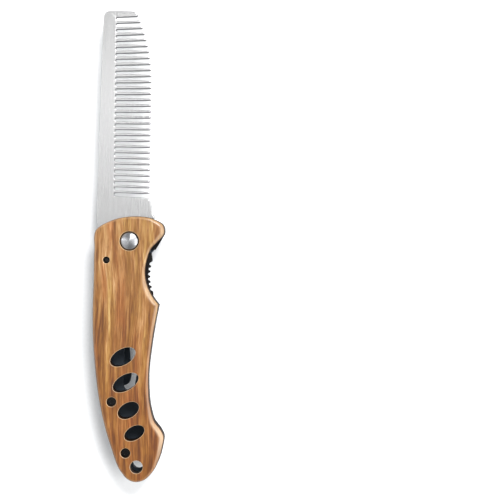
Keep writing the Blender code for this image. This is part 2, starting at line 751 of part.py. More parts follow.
def build_handle():
    wood = plain_material("oiled_wood", (0.48, 0.24, 0.09), 0.42, 0.0)
    black = plain_material("black_coated_steel", (0.02, 0.02, 0.022), 0.45, 0.6)
    satin = plain_material("satin_steel", (0.42, 0.42, 0.42), 0.35, 1.0)
    polished = plain_material("polished_steel", (0.72, 0.72, 0.75), 0.12, 1.0)
    bronze = plain_material("washer_bronze", (0.55, 0.38, 0.2), 0.4, 1.0)
    wood_scale(wood)
    lock_liner(black)
    back_frame(satin)
    pocket_clip(satin)
    pivot_barrel(polished)
    pivot_washer(bronze)
    stop_pin(black)
    clip_seat = CLIP_FACE - CLIP_THICKNESS - GAP
    button_screw("pivot_screw", (0, 0), head=PIVOT_SCREW_HEAD, height=1.7, seat=clip_seat,
                 shank=PIVOT_SHANK, end=LINER_BACK - 0.7, socket=1.25, material=black, sides=24)
    for side, centre in CLIP_SCREWS.items():
        button_screw("clip_screw_" + side, centre, head=CLIP_SCREW_HEAD, height=1.4, seat=clip_seat,
                     shank=CLIP_SHANK, end=FRAME_FRONT - 0.3, socket=0.95, material=black, sides=18)
    middle = (FRAME_FRONT + LINER_BACK) / 2
    wood_seat = WOOD_SCREW_FLOOR + GAP
    frame_seat = FRAME_SCREW_FLOOR - GAP
    for place, centre in BODY_SCREWS.items():
        pillar("pillar_" + place, centre, satin)
        flat_screw("wood_screw_" + place, centre, head=WOOD_SCREW_HEAD, top=wood_seat + 0.9, seat=wood_seat,
                   shank=BODY_SHANK, end=middle + GAP / 2, socket=0.8, material=black)
        flat_screw("frame_screw_" + place, centre, head=FRAME_SCREW_HEAD, top=FRAME_BACK + 0.15,
                   seat=frame_seat, shank=BODY_SHANK, end=middle - GAP / 2, socket=0.7, material=black)


def build_comb():
    stainless = plain_material("stainless_comb", (0.66, 0.66, 0.67), 0.3, 1.0)
    pivot = bpy.data.objects.new("comb_pivot_axis", None)
    pivot.location = build_vector((0, 0), (COMB_BACK + COMB_FRONT) / 2)
    bpy.context.scene.collection.objects.link(pivot)
    comb(stainless, pivot)
    for side, centre in STUDS.items():
        stud("comb_stud_" + side, centre, stainless, pivot)


clean_scene()
build_handle()
build_comb()
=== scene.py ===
# %% [markdown]
# # Folding comb
#
# A pocket comb that folds like a knife: a flat steel comb plate swings out of a handle. The handle is a
# sandwich of a wooden front, a black lock liner and a steel back plate with a pocket clip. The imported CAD
# model gives the places, the sizes and the joint. This lesson dresses it: it builds each piece again with
# fine edges, gives each finish a material made of nodes, and sets up a camera and a soft studio light.

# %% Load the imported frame
import json
import math

import bmesh
import bpy
import numpy as np
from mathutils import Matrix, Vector


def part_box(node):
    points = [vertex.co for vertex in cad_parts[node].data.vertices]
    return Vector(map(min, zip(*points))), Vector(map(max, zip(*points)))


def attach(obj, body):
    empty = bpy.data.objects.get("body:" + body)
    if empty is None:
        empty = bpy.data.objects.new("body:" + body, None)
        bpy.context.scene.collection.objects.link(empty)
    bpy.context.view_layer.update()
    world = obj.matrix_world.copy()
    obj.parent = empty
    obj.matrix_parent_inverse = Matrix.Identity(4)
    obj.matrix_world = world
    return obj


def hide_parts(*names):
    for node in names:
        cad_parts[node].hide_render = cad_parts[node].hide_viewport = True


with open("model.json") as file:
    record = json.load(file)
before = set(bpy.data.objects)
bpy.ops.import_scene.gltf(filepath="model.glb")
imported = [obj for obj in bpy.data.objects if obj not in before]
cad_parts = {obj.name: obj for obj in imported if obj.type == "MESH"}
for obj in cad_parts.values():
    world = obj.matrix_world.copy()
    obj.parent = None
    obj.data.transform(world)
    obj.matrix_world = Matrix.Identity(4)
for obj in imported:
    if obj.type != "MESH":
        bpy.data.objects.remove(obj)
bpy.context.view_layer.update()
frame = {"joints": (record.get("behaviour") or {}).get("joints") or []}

# %% [markdown]
# ## Sizes
#
# Blender works in metres, but a small tool is easier to think about in millimetres. All the outlines below
# are millimetres from the pivot axis, and one function turns them into metres in the model's own frame. The
# pivot's place comes from the joint and the height of each layer from the CAD nodes, so nothing here can
# drift from them.

# %% Millimetres from the pivot axis
MM = 0.001
pivot = Vector(frame["joints"][0]["pos_m"])


def in_frame(point, height):
    """Millimetres from the pivot axis, at a height in millimetres, as metres in the model's frame."""
    return (pivot.x + point[0] * MM, pivot.y + point[1] * MM, height * MM)


def layer(node):
    """Height of a CAD node's bottom and of its top, in millimetres."""
    low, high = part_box(node)
    return low.z / MM, high.z / MM


WOOD_BACK, WOOD_FRONT = layer("wood_scale")
LINER_BACK, LINER_FRONT = layer("lock_liner")
COMB_BACK, COMB_FRONT = layer("comb")
FRAME_BACK, FRAME_FRONT = layer("back_frame")
CLEARANCE = WOOD_BACK - LINER_FRONT
print(f"wood {WOOD_BACK:.1f} to {WOOD_FRONT:.1f} mm, comb {COMB_BACK:.1f} to {COMB_FRONT:.1f} mm")

# %% [markdown]
# ## Smooth outlines
#
# A maker draws such a handle with a few points and a flexible ruler. The function below does the same: it
# runs a smooth curve through the points, and leaves the ones called corners sharp. A third column can ride
# along, such as the width of the rounded edge at each point.

# %% A curve through points


def smooth_curve(points, closed, step, corners=()):
    """Rows on a smooth curve through the points, about one step apart."""
    rows = [np.array(p, dtype=float) for p in points]
    count = len(rows)
    spans = count if closed else count - 1
    lengths = [np.linalg.norm(rows[(i + 1) % count][:2] - rows[i][:2]) for i in range(spans)]
    slopes = [(rows[(i + 1) % count] - rows[i]) / lengths[i] for i in range(spans)]

    def heading(point, span):
        """The curve's slope at a point, for the span that starts or ends there."""
        if tuple(rows[point][:2]) in corners or (not closed and point in (0, count - 1)):
            return slopes[span]
        before, after = (point - 1) % spans, point % spans
        whole = lengths[before] + lengths[after]
        return (slopes[before] * lengths[after] + slopes[after] * lengths[before]) / whole

    result = []
    for i in range(spans):
        here, after = rows[i], rows[(i + 1) % count]
        leave = heading(i, i) * lengths[i]
        arrive = heading((i + 1) % count, i) * lengths[i]
        turns = max(1, round(lengths[i] / step))
        for t in np.arange(turns) / turns:
            result.append(
                (2 * t**3 - 3 * t**2 + 1) * here
                + (t**3 - 2 * t**2 + t) * leave
                + (3 * t**2 - 2 * t**3) * after
                + (t**3 - t**2) * arrive
            )
    if not closed:
        result.append(rows[-1])
    return np.array(result)


# %% Arcs, circles and ovals


def arc(centre, radius, start, end, steps):
    """Points on a circle from one angle to another, in degrees."""
    angles = np.radians(np.linspace(start, end, steps + 1))
    return [(centre[0] + radius * math.cos(a), centre[1] + radius * math.sin(a)) for a in angles]


def circle(centre, diameter, sides=48):
    """Points all the way round, without repeating the first."""
    return arc(centre, diameter / 2, 0.0, 360.0 - 360.0 / sides, sides - 1)


def oval(centre, length, width, tilt, sides=72):
    """An ellipse whose long axis is turned by the tilt."""
    turn = np.linspace(0.0, math.tau, sides, endpoint=False)
    along, across = length / 2 * np.cos(turn), width / 2 * np.sin(turn)
    return np.stack((
        centre[0] + along * math.cos(tilt) - across * math.sin(tilt),
        centre[1] + along * math.sin(tilt) + across * math.cos(tilt),
    ), axis=1)


def clockwise(loop):
    """The loop's points in clockwise order, seen from above."""
    loop = np.array([p[:2] for p in loop], dtype=float)
    ahead = np.roll(loop, -1, axis=0)
    area = np.sum(loop[:, 0] * ahead[:, 1] - ahead[:, 0] * loop[:, 1])
    return loop if area < 0 else loop[::-1]


# %% [markdown]
# ## Plates with rounded edges
#
# Wood, liner, frame, clip and comb are all plates. Each wall of a plate is a stack of rings: one outline
# repeated at rising heights, and drawn in a little near the faces to round the edge. The rings are joined
# with quads, and the two flat faces are filled last. This beats a bevel modifier here, because the rounding
# may change its width along the outline, as the sanded edge of the wood does.

# %% Draw an outline in
# An outline point that turns by more than this counts as a corner with a mitre
CORNER_TURN = math.radians(20.0)
# A mitre is at most this many times as long as the outline is drawn in
LONGEST_MITRE = 2.0


def inset(loop, widths):
    """Moves each point of a clockwise loop inwards by its own width.

    Close to a sharp corner the points meet on its mitre. Returns the points, and for each the index of the
    point whose height it takes.
    """
    count = len(loop)
    widths = np.broadcast_to(widths, count)
    ahead = np.roll(loop, -1, axis=0) - loop
    lengths = np.linalg.norm(ahead, axis=1)
    ahead = ahead / lengths[:, None]
    behind = np.roll(ahead, 1, axis=0)
    inward = [np.stack((v[:, 1], -v[:, 0]), axis=1) for v in (behind, ahead)]
    middle = inward[0] + inward[1]
    middle = middle / np.linalg.norm(middle, axis=1)[:, None]
    cosine = np.clip(np.sum(middle * inward[0], axis=1), 1 / LONGEST_MITRE, 1.0)
    moved = loop + middle * (widths / cosine)[:, None]
    source = np.arange(count)
    turning = behind[:, 0] * ahead[:, 1] - behind[:, 1] * ahead[:, 0]
    for corner in np.flatnonzero((cosine < math.cos(CORNER_TURN / 2)) & (turning * widths < 0)):
        reach = abs(widths[corner]) * math.tan(math.acos(cosine[corner]))
        for way in (-1, 1):
            near, travelled = corner, 0.0
            while True:
                travelled += lengths[near if way > 0 else near - 1]
                near = (near + way) % count
                if travelled >= reach:
                    break
                moved[near] = moved[corner]
                source[near] = corner
    return moved, source


# %% The rings of a wall


def wall(loop, low, high, low_edge=(0.0, 0.0), high_edge=(0.0, 0.0), hole=False, segments=4):
    """Rings of a wall from its low to its high face.

    Each edge is given as its width and its depth, which may vary along the outline.
    """
    loop = clockwise(loop)
    side = -1 if hole else 1
    rings = []
    for face, (width, depth), up in ((low, low_edge, 1), (high, high_edge, -1)):
        has_edge = np.max(width) > 0
        angles = np.radians(np.linspace(0.0, 90.0, segments + 1)) if has_edge else [math.pi / 2]
        bend = []
        for angle in angles:
            share = 1 - math.cos(angle) if has_edge else 0.0
            points, source = inset(loop, side * np.asarray(width) * share)
            heights = np.broadcast_to(face + up * np.asarray(depth) * (1 - math.sin(angle)), len(loop))
            bend.append((points, heights[source]))
        rings += bend[::-1] if up > 0 else bend
    return rings


# %% From rings to a mesh
# Points closer than this are one, in metres
SAME_PLACE = 1e-7


def add_ring(bm, points, heights):
    """One vertex for each point; neighbours that meet share one."""
    ring = []
    for point, height in zip(points, np.broadcast_to(heights, len(points))):
        place = Vector(in_frame(point, height))
        same = ring and (ring[-1].co - place).length < SAME_PLACE
        ring.append(ring[-1] if same else bm.verts.new(place))
    return ring


def add_face(bm, corners):
    """A face between the corners that differ, if there are three or more."""
    different = list(dict.fromkeys(corners))
    if len(different) > 2:
        return bm.faces.new(different)
    return None


def join_rings(bm, rings, bored=0.0):
    """Quads from ring to ring. The mark called bored is 1 on the faces of a hole."""
    mark = bm.faces.layers.float.get("bored") or bm.faces.layers.float.new("bored")
    for low, high in zip(rings, rings[1:]):
        for i in range(len(low)):
            j = (i + 1) % len(low)
            face = add_face(bm, (low[i], low[j], high[j], high[i]))
            if face:
                face[mark] = bored


def fill_face(bm, rings):
    """Fills the region between an outer ring and the rings inside it."""
    edges = []
    for ring in rings:
        ring = list(dict.fromkeys(ring))
        for vert, following in zip(ring, ring[1:] + ring[:1]):
            edges.append(bm.edges.get((vert, following)) or bm.edges.new((vert, following)))
    bmesh.ops.triangle_fill(bm, use_beauty=True, use_dissolve=False, edges=edges)


def plate(walls, pockets=()):
    """A plate: the first wall is its outline, the others go through, and the pockets end in a floor."""
    bm = bmesh.new()
    low_face, high_face = [], []
    for number, rings in enumerate(walls):
        rings = [add_ring(bm, *ring) for ring in rings]
        join_rings(bm, rings, bored=float(number > 0))
        low_face.append(rings[0])
        high_face.append(rings[-1])
    for rings in pockets:
        rings = [add_ring(bm, *ring) for ring in rings]
        join_rings(bm, rings)
        low_face.append(rings[0])
        bm.faces.new(rings[-1])
    fill_face(bm, low_face)
    fill_face(bm, high_face)
    return bm


# %% [markdown]
# ## From mesh to piece
#
# Every piece rides on a CAD body, so that it moves with the joint, and stands for the CAD node that it
# replaces. Faces that meet at less than 35 degrees are shaded as one smooth surface. The Weighted Normal
# modifier lets the large flat faces decide the shading at their borders, which keeps flat steel looking flat.

# %% Finish a piece
SMOOTH_BELOW = math.radians(35.0)


def finish_piece(name, bm, material, body, node):
    """Makes an object of the mesh, gives it its material and hands it over in place of the CAD node."""
    bmesh.ops.recalc_face_normals(bm, faces=bm.faces)
    mesh = bpy.data.meshes.new(name)
    bm.to_mesh(mesh)
    bm.free()
    mesh.shade_smooth()
    mesh.set_sharp_from_angle(angle=SMOOTH_BELOW)
    mesh.materials.append(material)
    piece = bpy.data.objects.new(name, mesh)
    bpy.context.scene.collection.objects.link(piece)
    shading = piece.modifiers.new("flat faces stay flat", "WEIGHTED_NORMAL")
    shading.keep_sharp = True
    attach(piece, body)
    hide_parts(node)
    print(f"{name}: {sum(len(p.vertices) - 2 for p in mesh.polygons)} triangles")


# %% [markdown]
# ## Building materials from nodes
#
# Colours are written as the sRGB hex values that a colour picker shows, and one function turns them into
# the linear numbers that the renderer adds up. One more function adds a node, sets it and links it. Each
# material starts from the object's own coordinates in millimetres, so a pattern has its real size on every
# piece.

# %% Colours and nodes


def linear(hex_colour):
    """An sRGB hex colour as linear red, green, blue and alpha."""
    shares = [int(hex_colour[i:i + 2], 16) / 255 for i in (1, 3, 5)]
    return [s / 12.92 if s <= 0.04045 else ((s + 0.055) / 1.055) ** 2.4 for s in shares] + [1.0]


def add_node(tree, kind, settings=None, sockets=None, stops=None):
    """Adds a node. A socket that is given another node's output is linked, and any other value is set.

    The stops of a colour ramp are positions, each with a hex colour or a grey from 0 to 1.
    """
    new = tree.nodes.new("ShaderNode" + kind)
    for name, value in (settings or {}).items():
        setattr(new, name, value)
    for name, value in (sockets or {}).items():
        if isinstance(value, bpy.types.NodeSocket):
            tree.links.new(value, new.inputs[name])
        else:
            new.inputs[name].default_value = value
    for i, (position, value) in enumerate(stops or []):
        ramp = new.color_ramp.elements
        element = ramp[i] if i < 2 else ramp.new(position)
        element.position = position
        element.color = linear(value) if isinstance(value, str) else (value, value, value, 1.0)
    return new


def new_material(name):
    """A material, with its tree, its principled shader and its coordinates in millimetres."""
    material = bpy.data.materials.new(name)
    material.use_nodes = True
    tree = material.node_tree
    shader = tree.nodes["Principled BSDF"]
    place = add_node(tree, "TexCoord").outputs["Object"]
    millimetres = add_node(tree, "Mapping", None, {"Vector": place, "Scale": (1 / MM,) * 3}).outputs["Vector"]
    return material, tree, shader, millimetres


# %% [markdown]
# ## Oiled acacia
#
# The front is a thin slab of acacia, planed along the grain and oiled. The eye reads four things: bands of
# olive tan and red brown a few millimetres wide, narrower streaks and fine threads that run almost straight
# for centimetres, short pores like pencil dashes, and the gloss of the oil. The grain runs along the handle,
# so each noise is stretched 12 to 20 times that way. Noise is a solid block that the slab is cut from, so
# the grain also wraps over the rounded edge.

# %% The wood's grain
acacia, tree, shader, mm = new_material("oiled_acacia")
# The grain wanders sideways by about a millimetre, in waves of 20 mm across and 45 mm along the handle
WAVES_PER_MM = (0.05, 0.022, 0.05)
WANDER = (6.0, 0.0, 3.0)
waved = add_node(tree, "Mapping", None, {"Vector": mm, "Scale": WAVES_PER_MM}).outputs[0]
waves = add_node(tree, "TexNoise", None, {"Vector": waved, "Scale": 1.0, "Detail": 2.0, "Roughness": 0.5})
wandering = add_node(tree, "VectorMath", {"operation": "MULTIPLY_ADD"},
                     {0: waves.outputs["Color"], 1: WANDER, 2: mm}).outputs[0]


def grain(width, stretch, detail, spread=0.16):
    """Noise from 0 to 1 whose grain is this many millimetres wide and is stretched along the handle."""
    scale = (1 / width, 1 / (width * stretch), 1 / width)
    vector = add_node(tree, "Mapping", None, {"Vector": wandering, "Scale": scale}).outputs[0]
    noise = add_node(tree, "TexNoise", None, {"Vector": vector, "Scale": 1.0, "Detail": detail,
                                              "Roughness": 0.55}).outputs["Fac"]
    return add_node(tree, "MapRange", None, {"Value": noise, "From Min": 0.5 - spread,
                                             "From Max": 0.5 + spread}).outputs[0]


BAND, STREAK, THREAD, HUE = 4.0, 1.5, 0.55, 3.5
# Real pores are 0.1 to 0.2 mm wide, too fine to show here, so they are drawn wider
PORE = 0.3
bands = grain(BAND, 16.0, 2.0)
streaks = grain(STREAK, 20.0, 3.0)
threads = grain(THREAD, 18.0, 3.0, spread=0.15)
hue = grain(HUE, 12.0, 2.0)
pores = grain(PORE, 12.0, 1.0)
print(f"wood grain: bands of {BAND} mm, streaks of {STREAK} mm, threads of {THREAD} mm, pores of {PORE} mm")

# %% [markdown]
# ## The wood's colour
#
# Bands, streaks and threads are mixed into one lightness, and a ramp turns it into the wood's browns. A
# noise of its own tints some of the grain red and some olive. Towards the butt the colour grows darker and a
# little warmer: painted shade. The tints multiply the colour, so the grain shows through them. The pores go
# on top.

# %% The wood's colour
STREAK_SHARE, THREAD_SHARE = 0.55, 0.38
# Painted shade darkens the board between these millimetres along the handle
BUTT_START, BUTT_END, BUTT_DARKER = -15.0, -65.0, 0.20
coarse = add_node(tree, "Mix", {"data_type": "FLOAT"}, {0: STREAK_SHARE, 2: bands, 3: streaks}).outputs[0]
fine = add_node(tree, "Mix", {"data_type": "FLOAT"}, {0: THREAD_SHARE, 2: coarse, 3: threads}).outputs[0]
along_board = add_node(tree, "SeparateXYZ", None, {0: mm}).outputs["Y"]
butt_shade_share = add_node(tree, "MapRange", None,
                      {"Value": along_board, "From Min": BUTT_START, "From Max": BUTT_END}).outputs[0]
lightness = add_node(tree, "Math", {"operation": "MULTIPLY_ADD"},
                     {0: butt_shade_share, 1: -BUTT_DARKER, 2: fine}).outputs[0]
wood_colour = add_node(tree, "ValToRGB", None, {0: lightness}, [
    (0.08, "#58310C"), (0.22, "#6D4214"), (0.36, "#7E5122"), (0.50, "#8D6232"), (0.64, "#9D7345"),
    (0.78, "#AF885C"), (0.94, "#C5A680"),
]).outputs[0]
red_share = add_node(tree, "ValToRGB", None, {0: hue}, [(0.60, 0.0), (0.95, 0.55)]).outputs[0]
olive_share = add_node(tree, "ValToRGB", None, {0: hue}, [(0.15, 0.7), (0.50, 0.0)]).outputs[0]
# The last tint is painted shade, darker and warmer towards the butt
for share, tint in ((red_share, "#FFDCC4"), (olive_share, "#F4FACC"), (butt_shade_share, "#FFEEDC")):
    wood_colour = add_node(tree, "Mix", {"data_type": "RGBA", "blend_type": "MULTIPLY"},
                           {0: share, 6: wood_colour, 7: linear(tint)}).outputs[2]
pore_share = add_node(tree, "ValToRGB", None, {0: pores}, [(0.74, 0.0), (1.0, 0.4)]).outputs[0]
wood_colour = add_node(tree, "Mix", {"data_type": "RGBA"},
                       {0: pore_share, 6: wood_colour, 7: linear("#5A3416")}).outputs[2]
print("acacia nodes:", len(tree.nodes))

# %% [markdown]
# ## The wood's edges
#
# The curved edges are painted paler, and palest where they are wide: a painted highlight. The mark called
# sanding, which the slab gets below, says how wide. The broken edges of the holes get a thin painted
# highlight too. The upright walls of the holes and the lowest part of the outer edge are painted dark:
# painted shade. The mark called bored, which each plate puts on its holes, tells the two kinds of edge
# apart. Ramps on the way a face looks put each of them in its place.

# %% The wood's edges
# From a face that looks sideways (0) to one that looks up (1)
EDGE_RAMPS = {
    # Painted highlights: on the broken edges of the holes and on the curved outer edge
    "rim": [(0.30, 0.0), (0.42, 0.6), (0.93, 0.6), (0.99, 0.0)],
    "curve": [(0.35, 0.2), (0.60, 1.0), (0.94, 1.0), (0.995, 0.0)],
    # Painted shade: on the walls of the holes and on the steep part of the outer edge
    "hole_wall_shade": [(0.12, 1.0), (0.40, 0.0)],
    "outer_wall_shade": [(0.35, 1.0), (0.72, 0.0)],
}
# From the narrowest sanded edge (0) to the widest (1)
EDGE_HIGHLIGHT_BY_WIDTH = [(0.2, 0.14), (0.6, 0.30), (1.0, 0.62)]
normal = add_node(tree, "TexCoord").outputs["Normal"]
facing = add_node(tree, "SeparateXYZ", None, {0: normal}).outputs["Z"]
edge_share = {kind: add_node(tree, "ValToRGB", None, {0: facing}, stops).outputs[0]
              for kind, stops in EDGE_RAMPS.items()}
in_hole = add_node(tree, "Attribute", {"attribute_name": "bored"}).outputs["Fac"]
sanding = add_node(tree, "Attribute", {"attribute_name": "sanding"}).outputs["Fac"]
highlight_by_width = add_node(tree, "ValToRGB", None, {0: sanding}, EDGE_HIGHLIGHT_BY_WIDTH).outputs[0]
sanded = add_node(tree, "Math", {"operation": "MULTIPLY"},
                  {0: edge_share["curve"], 1: highlight_by_width}).outputs[0]
highlight_share = add_node(tree, "Mix", {"data_type": "FLOAT"},
                      {0: in_hole, 2: sanded, 3: edge_share["rim"]}).outputs[0]
shade_share = add_node(tree, "Mix", {"data_type": "FLOAT"},
                      {0: in_hole, 2: edge_share["outer_wall_shade"], 3: edge_share["hole_wall_shade"]}).outputs[0]
# A pale painted highlight and a near-black painted shade go on top
for share, tone in ((highlight_share, "#CFB491"), (shade_share, "#26150A")):
    wood_colour = add_node(tree, "Mix", {"data_type": "RGBA"},
                           {0: share, 6: wood_colour, 7: linear(tone)}).outputs[2]
tree.links.new(wood_colour, shader.inputs["Base Color"])
print("edges:", ", ".join(EDGE_RAMPS))

# %% [markdown]
# ## The wood's shine
#
# The oil lies on the wood as a clear coat. It doesn't fill the pores, which are matt and a few hundredths of
# a millimetre deep. The walls painted dark as shade get no coat and little gloss, so they are dull.

# %% The wood's shine
STREAK_ROUGH, PORE_ROUGHER, THREAD_RELIEF = (0.48, 0.38), 0.25, 0.3
DEEPEST = 0.05 * MM


def fade(tree, shader, share, sockets):
    """Sets each socket to its whole value, less its loss where the share is 1."""
    for name, (whole, loss) in sockets.items():
        faded = add_node(tree, "Math", {"operation": "MULTIPLY_ADD"}, {0: share, 1: -loss, 2: whole})
        tree.links.new(faded.outputs[0], shader.inputs[name])


streak_rough = add_node(tree, "MapRange", None, {"Value": streaks, "To Min": STREAK_ROUGH[0],
                                                 "To Max": STREAK_ROUGH[1]}).outputs[0]
rough = add_node(tree, "Math", {"operation": "MULTIPLY_ADD"},
                 {0: pore_share, 1: PORE_ROUGHER, 2: streak_rough}).outputs[0]
raised = add_node(tree, "Math", {"operation": "MULTIPLY"}, {0: threads, 1: THREAD_RELIEF}).outputs[0]
relief = add_node(tree, "Math", {"operation": "SUBTRACT"}, {0: raised, 1: pore_share}).outputs[0]
bump = add_node(tree, "Bump", None, {"Strength": 0.3, "Distance": DEEPEST, "Height": relief}).outputs[0]
for output, socket in ((rough, "Roughness"), (bump, "Normal"), (bump, "Coat Normal")):
    tree.links.new(output, shader.inputs[socket])
fade(tree, shader, shade_share, {"Coat Weight": (0.5, 0.5), "Specular IOR Level": (0.4, 0.35)})
shader.inputs["IOR"].default_value = 1.45
shader.inputs["Coat Roughness"].default_value = 0.28
print("acacia with its shine:", len(tree.nodes), "nodes")

# %% [markdown]
# ## Steel in four finishes
#
# The comb is satin stainless, the frame is blasted with fine glass beads, the clip is tumbled and the
# pivot's head is polished. All are bare metal, so metallic is 1 and the colour is the tint of the
# reflection. What sets them apart is roughness and a very fine relief: beads leave dimples of about 0.05 mm,
# tumbling leaves small nicks, and satin polishing leaves long faint scratches along the comb. All of them
# are too fine to show here, so they are drawn coarser, at 0.12 to 0.3 mm. That is the grit in the calls.
#
# The walls of the comb's slots are painted a darker grey and made rougher: painted shade. The inner sides
# of frame and clip, and the walls of their holes, are painted dark, mostly not metallic and with little
# gloss: painted shade inside the handle.

# %% Where steel takes a dark colour
# From a face that looks down (0) over one that looks sideways (0.5) to one that looks up (1)
SLOT_WALLS = [(0.04, 0.0), (0.12, 1.0), (0.88, 1.0), (0.96, 0.0)]
INNER_SIDE = [(0.60, 0.0), (0.90, 1.0)]
HOLE_WALLS = [(0.15, 0.0), (0.30, 1.0)]


def dark_tone_share(tree, dark_at, walls_too):
    """How much of the dark colour each face takes, by the way it looks. The third argument adds the walls of
    holes.
    """
    normal = add_node(tree, "TexCoord").outputs["Normal"]
    facing = add_node(tree, "SeparateXYZ", None, {0: normal}).outputs["Z"]
    way = add_node(tree, "MapRange", None, {"Value": facing, "From Min": -1.0, "From Max": 1.0}).outputs[0]
    darkened = add_node(tree, "ValToRGB", None, {0: way}, dark_at).outputs[0]
    if not walls_too:
        return darkened
    in_hole = add_node(tree, "Attribute", {"attribute_name": "bored"}).outputs["Fac"]
    upright = add_node(tree, "ValToRGB", None, {0: way}, HOLE_WALLS).outputs[0]
    walls = add_node(tree, "Math", {"operation": "MULTIPLY"}, {0: in_hole, 1: upright}).outputs[0]
    return add_node(tree, "Math", {"operation": "MAXIMUM"}, {0: darkened, 1: walls}).outputs[0]


print("raw faces: walls of slots, inner sides and walls of holes")

# %% One recipe for steel
# Clouds of a slightly different shade are about 30 mm wide
CLOUDS_PER_MM = 0.03
CLOUD_ROUGHER, DARK_ROUGHER, FLECK = 0.04, 0.15, 0.05


def steel(name, tint, shade, rough, grit=0.15, lay=(1.0, 1.0, 1.0), relief=0.01,
          dark_tone=None, dark_at=(), shade_dullness=0.0):
    """Steel whose tint drifts to a shade in soft clouds.

    Grit and relief are in millimetres, and lay stretches the grit. The faces that the given ramp picks take
    one dark colour and more roughness. The last argument says how much metal and gloss they lose as painted
    shade.
    """
    material, tree, shader, mm = new_material(name)
    clouds = add_node(tree, "TexNoise", None,
                      {"Vector": mm, "Scale": CLOUDS_PER_MM, "Detail": 3.0}).outputs["Fac"]
    fine = add_node(tree, "Mapping", None, {"Vector": mm, "Scale": [x / grit for x in lay]}).outputs[0]
    grains = add_node(tree, "TexNoise", None, {"Vector": fine, "Scale": 1.0, "Detail": 3.0}).outputs["Fac"]
    share = add_node(tree, "MapRange", None, {"Value": clouds, "From Min": 0.35, "From Max": 0.65}).outputs[0]
    colour = add_node(tree, "Mix", {"data_type": "RGBA"},
                      {0: share, 6: linear(tint), 7: linear(shade)}).outputs[2]
    flecks = add_node(tree, "MapRange", None, {"Value": grains, "From Min": 0.3, "From Max": 0.7,
                                               "To Min": rough - FLECK, "To Max": rough + FLECK}).outputs[0]
    roughness = add_node(tree, "Math", {"operation": "MULTIPLY_ADD"},
                         {0: share, 1: CLOUD_ROUGHER, 2: flecks}).outputs[0]
    bump = add_node(tree, "Bump", None, {"Strength": 0.4, "Distance": relief * MM, "Height": grains})
    shader.inputs["Metallic"].default_value = 1.0
    # The picked faces take the dark colour and more roughness: painted shade on comb, frame and clip
    if dark_tone:
        darkened = dark_tone_share(tree, dark_at, shade_dullness > 0)
        colour = add_node(tree, "Mix", {"data_type": "RGBA"}, {0: darkened, 6: colour, 7: linear(dark_tone)}).outputs[2]
        roughness = add_node(tree, "Math", {"operation": "MULTIPLY_ADD"},
                             {0: darkened, 1: DARK_ROUGHER, 2: roughness}).outputs[0]
    # Painted shade inside frame and clip is also hardly metallic and has little gloss
    if shade_dullness:
        fade(tree, shader, darkened, {"Metallic": (1.0, shade_dullness), "Specular IOR Level": (0.5, 0.45)})
    for output, socket in ((colour, "Base Color"), (roughness, "Roughness"), (bump.outputs[0], "Normal")):
        tree.links.new(output, shader.inputs[socket])
    return material


# Comb: its slot walls get a darker grey, which is painted shade
satin_stainless = steel("satin_stainless", "#DCDCDC", "#D8D8D9", 0.22, grit=0.12, lay=(1.0, 0.02, 1.0),
                        relief=0.004, dark_tone="#68696A", dark_at=SLOT_WALLS)
# Frame and clip: a dark, dull painted shade on their inner sides and the walls of their holes
blasted_steel = steel("bead_blasted_steel", "#9C9EA1", "#8C8E92", 0.36, relief=0.02,
                      dark_tone="#363C43", dark_at=INNER_SIDE, shade_dullness=0.8)
tumbled_steel = steel("tumbled_steel", "#B9BBBE", "#A9ABAF", 0.30, grit=0.2,
                      dark_tone="#3D454D", dark_at=INNER_SIDE, shade_dullness=0.8)
polished_steel = steel("polished_steel", "#B4B5B8", "#A6A8AC", 0.26, grit=0.3, relief=0.002)
print("steels:", satin_stainless.name, blasted_steel.name, tumbled_steel.name, polished_steel.name)

# %% [markdown]
# ## Turning marks
#
# The polished pieces are turned on a lathe, which leaves fine rings round the axis. They are too fine to
# model, but they spread a reflection outwards, which gives turned steel its bow-tie of light. Anisotropy does
# the same, once the tangent says which way the rings run.

# %% Turning marks on the polished pieces
tree = polished_steel.node_tree
shader = tree.nodes["Principled BSDF"]
shader.inputs["Anisotropic"].default_value = 0.75
shader.inputs["Anisotropic Rotation"].default_value = 0.25
ring_marks = add_node(tree, "Tangent", {"direction_type": "RADIAL", "axis": "Z"})
tree.links.new(ring_marks.outputs[0], shader.inputs["Tangent"])
print("turned finish:", shader.inputs["Anisotropic"].default_value)

# %% [markdown]
# ## Black oxide and bronze
#
# The liner and the screws are steel with a black oxide skin: a thin, slightly oily layer that still shows
# the metal's sheen. It is near black, metallic, and rougher than bare steel. Its specular tint, which colours
# a metal's reflection at a low angle, is dark too: painted shade that dims what the edges mirror.
#
# The stop pin is dark, apart from its back end, which is bright steel. The recipe is used the other way
# round for it: the back end takes the steel's tint, and all the rest takes the dark colour.
# The washer is phosphor bronze, which turns a dull brown gold; it sits inside the handle.

# %% Coated steel and bronze
# From a face that looks down (0) to one that looks up (1)
ALL_BUT_BACK_END = [(0.02, 0.0), (0.10, 1.0)]
black_oxide = steel("black_oxide_steel", "#2C2B2B", "#222120", 0.42, grit=0.18)
# A dark specular tint: painted shade on the reflection at the edges
black_oxide.node_tree.nodes["Principled BSDF"].inputs["Specular Tint"].default_value = linear("#3A3A3A")
dark_pin = steel("dark_pin_steel", "#8E9093", "#808285", 0.34,
                      dark_tone="#2C2B2B", dark_at=ALL_BUT_BACK_END)
bronze = steel("phosphor_bronze", "#B08A5C", "#94744C", 0.36, grit=0.2)
print("coated:", black_oxide.name, "and", dark_pin.name, "with", bronze.name)

# %% [markdown]
# ## The handle's outline
#
# Wood and liner share one outline, read off as a line of points down the right side and up the left. The
# third column is how wide the sanded edge of the wood is: narrow along the back, wide where a finger rests
# in the notch and at the butt. One point is a true corner, where the notch ends.

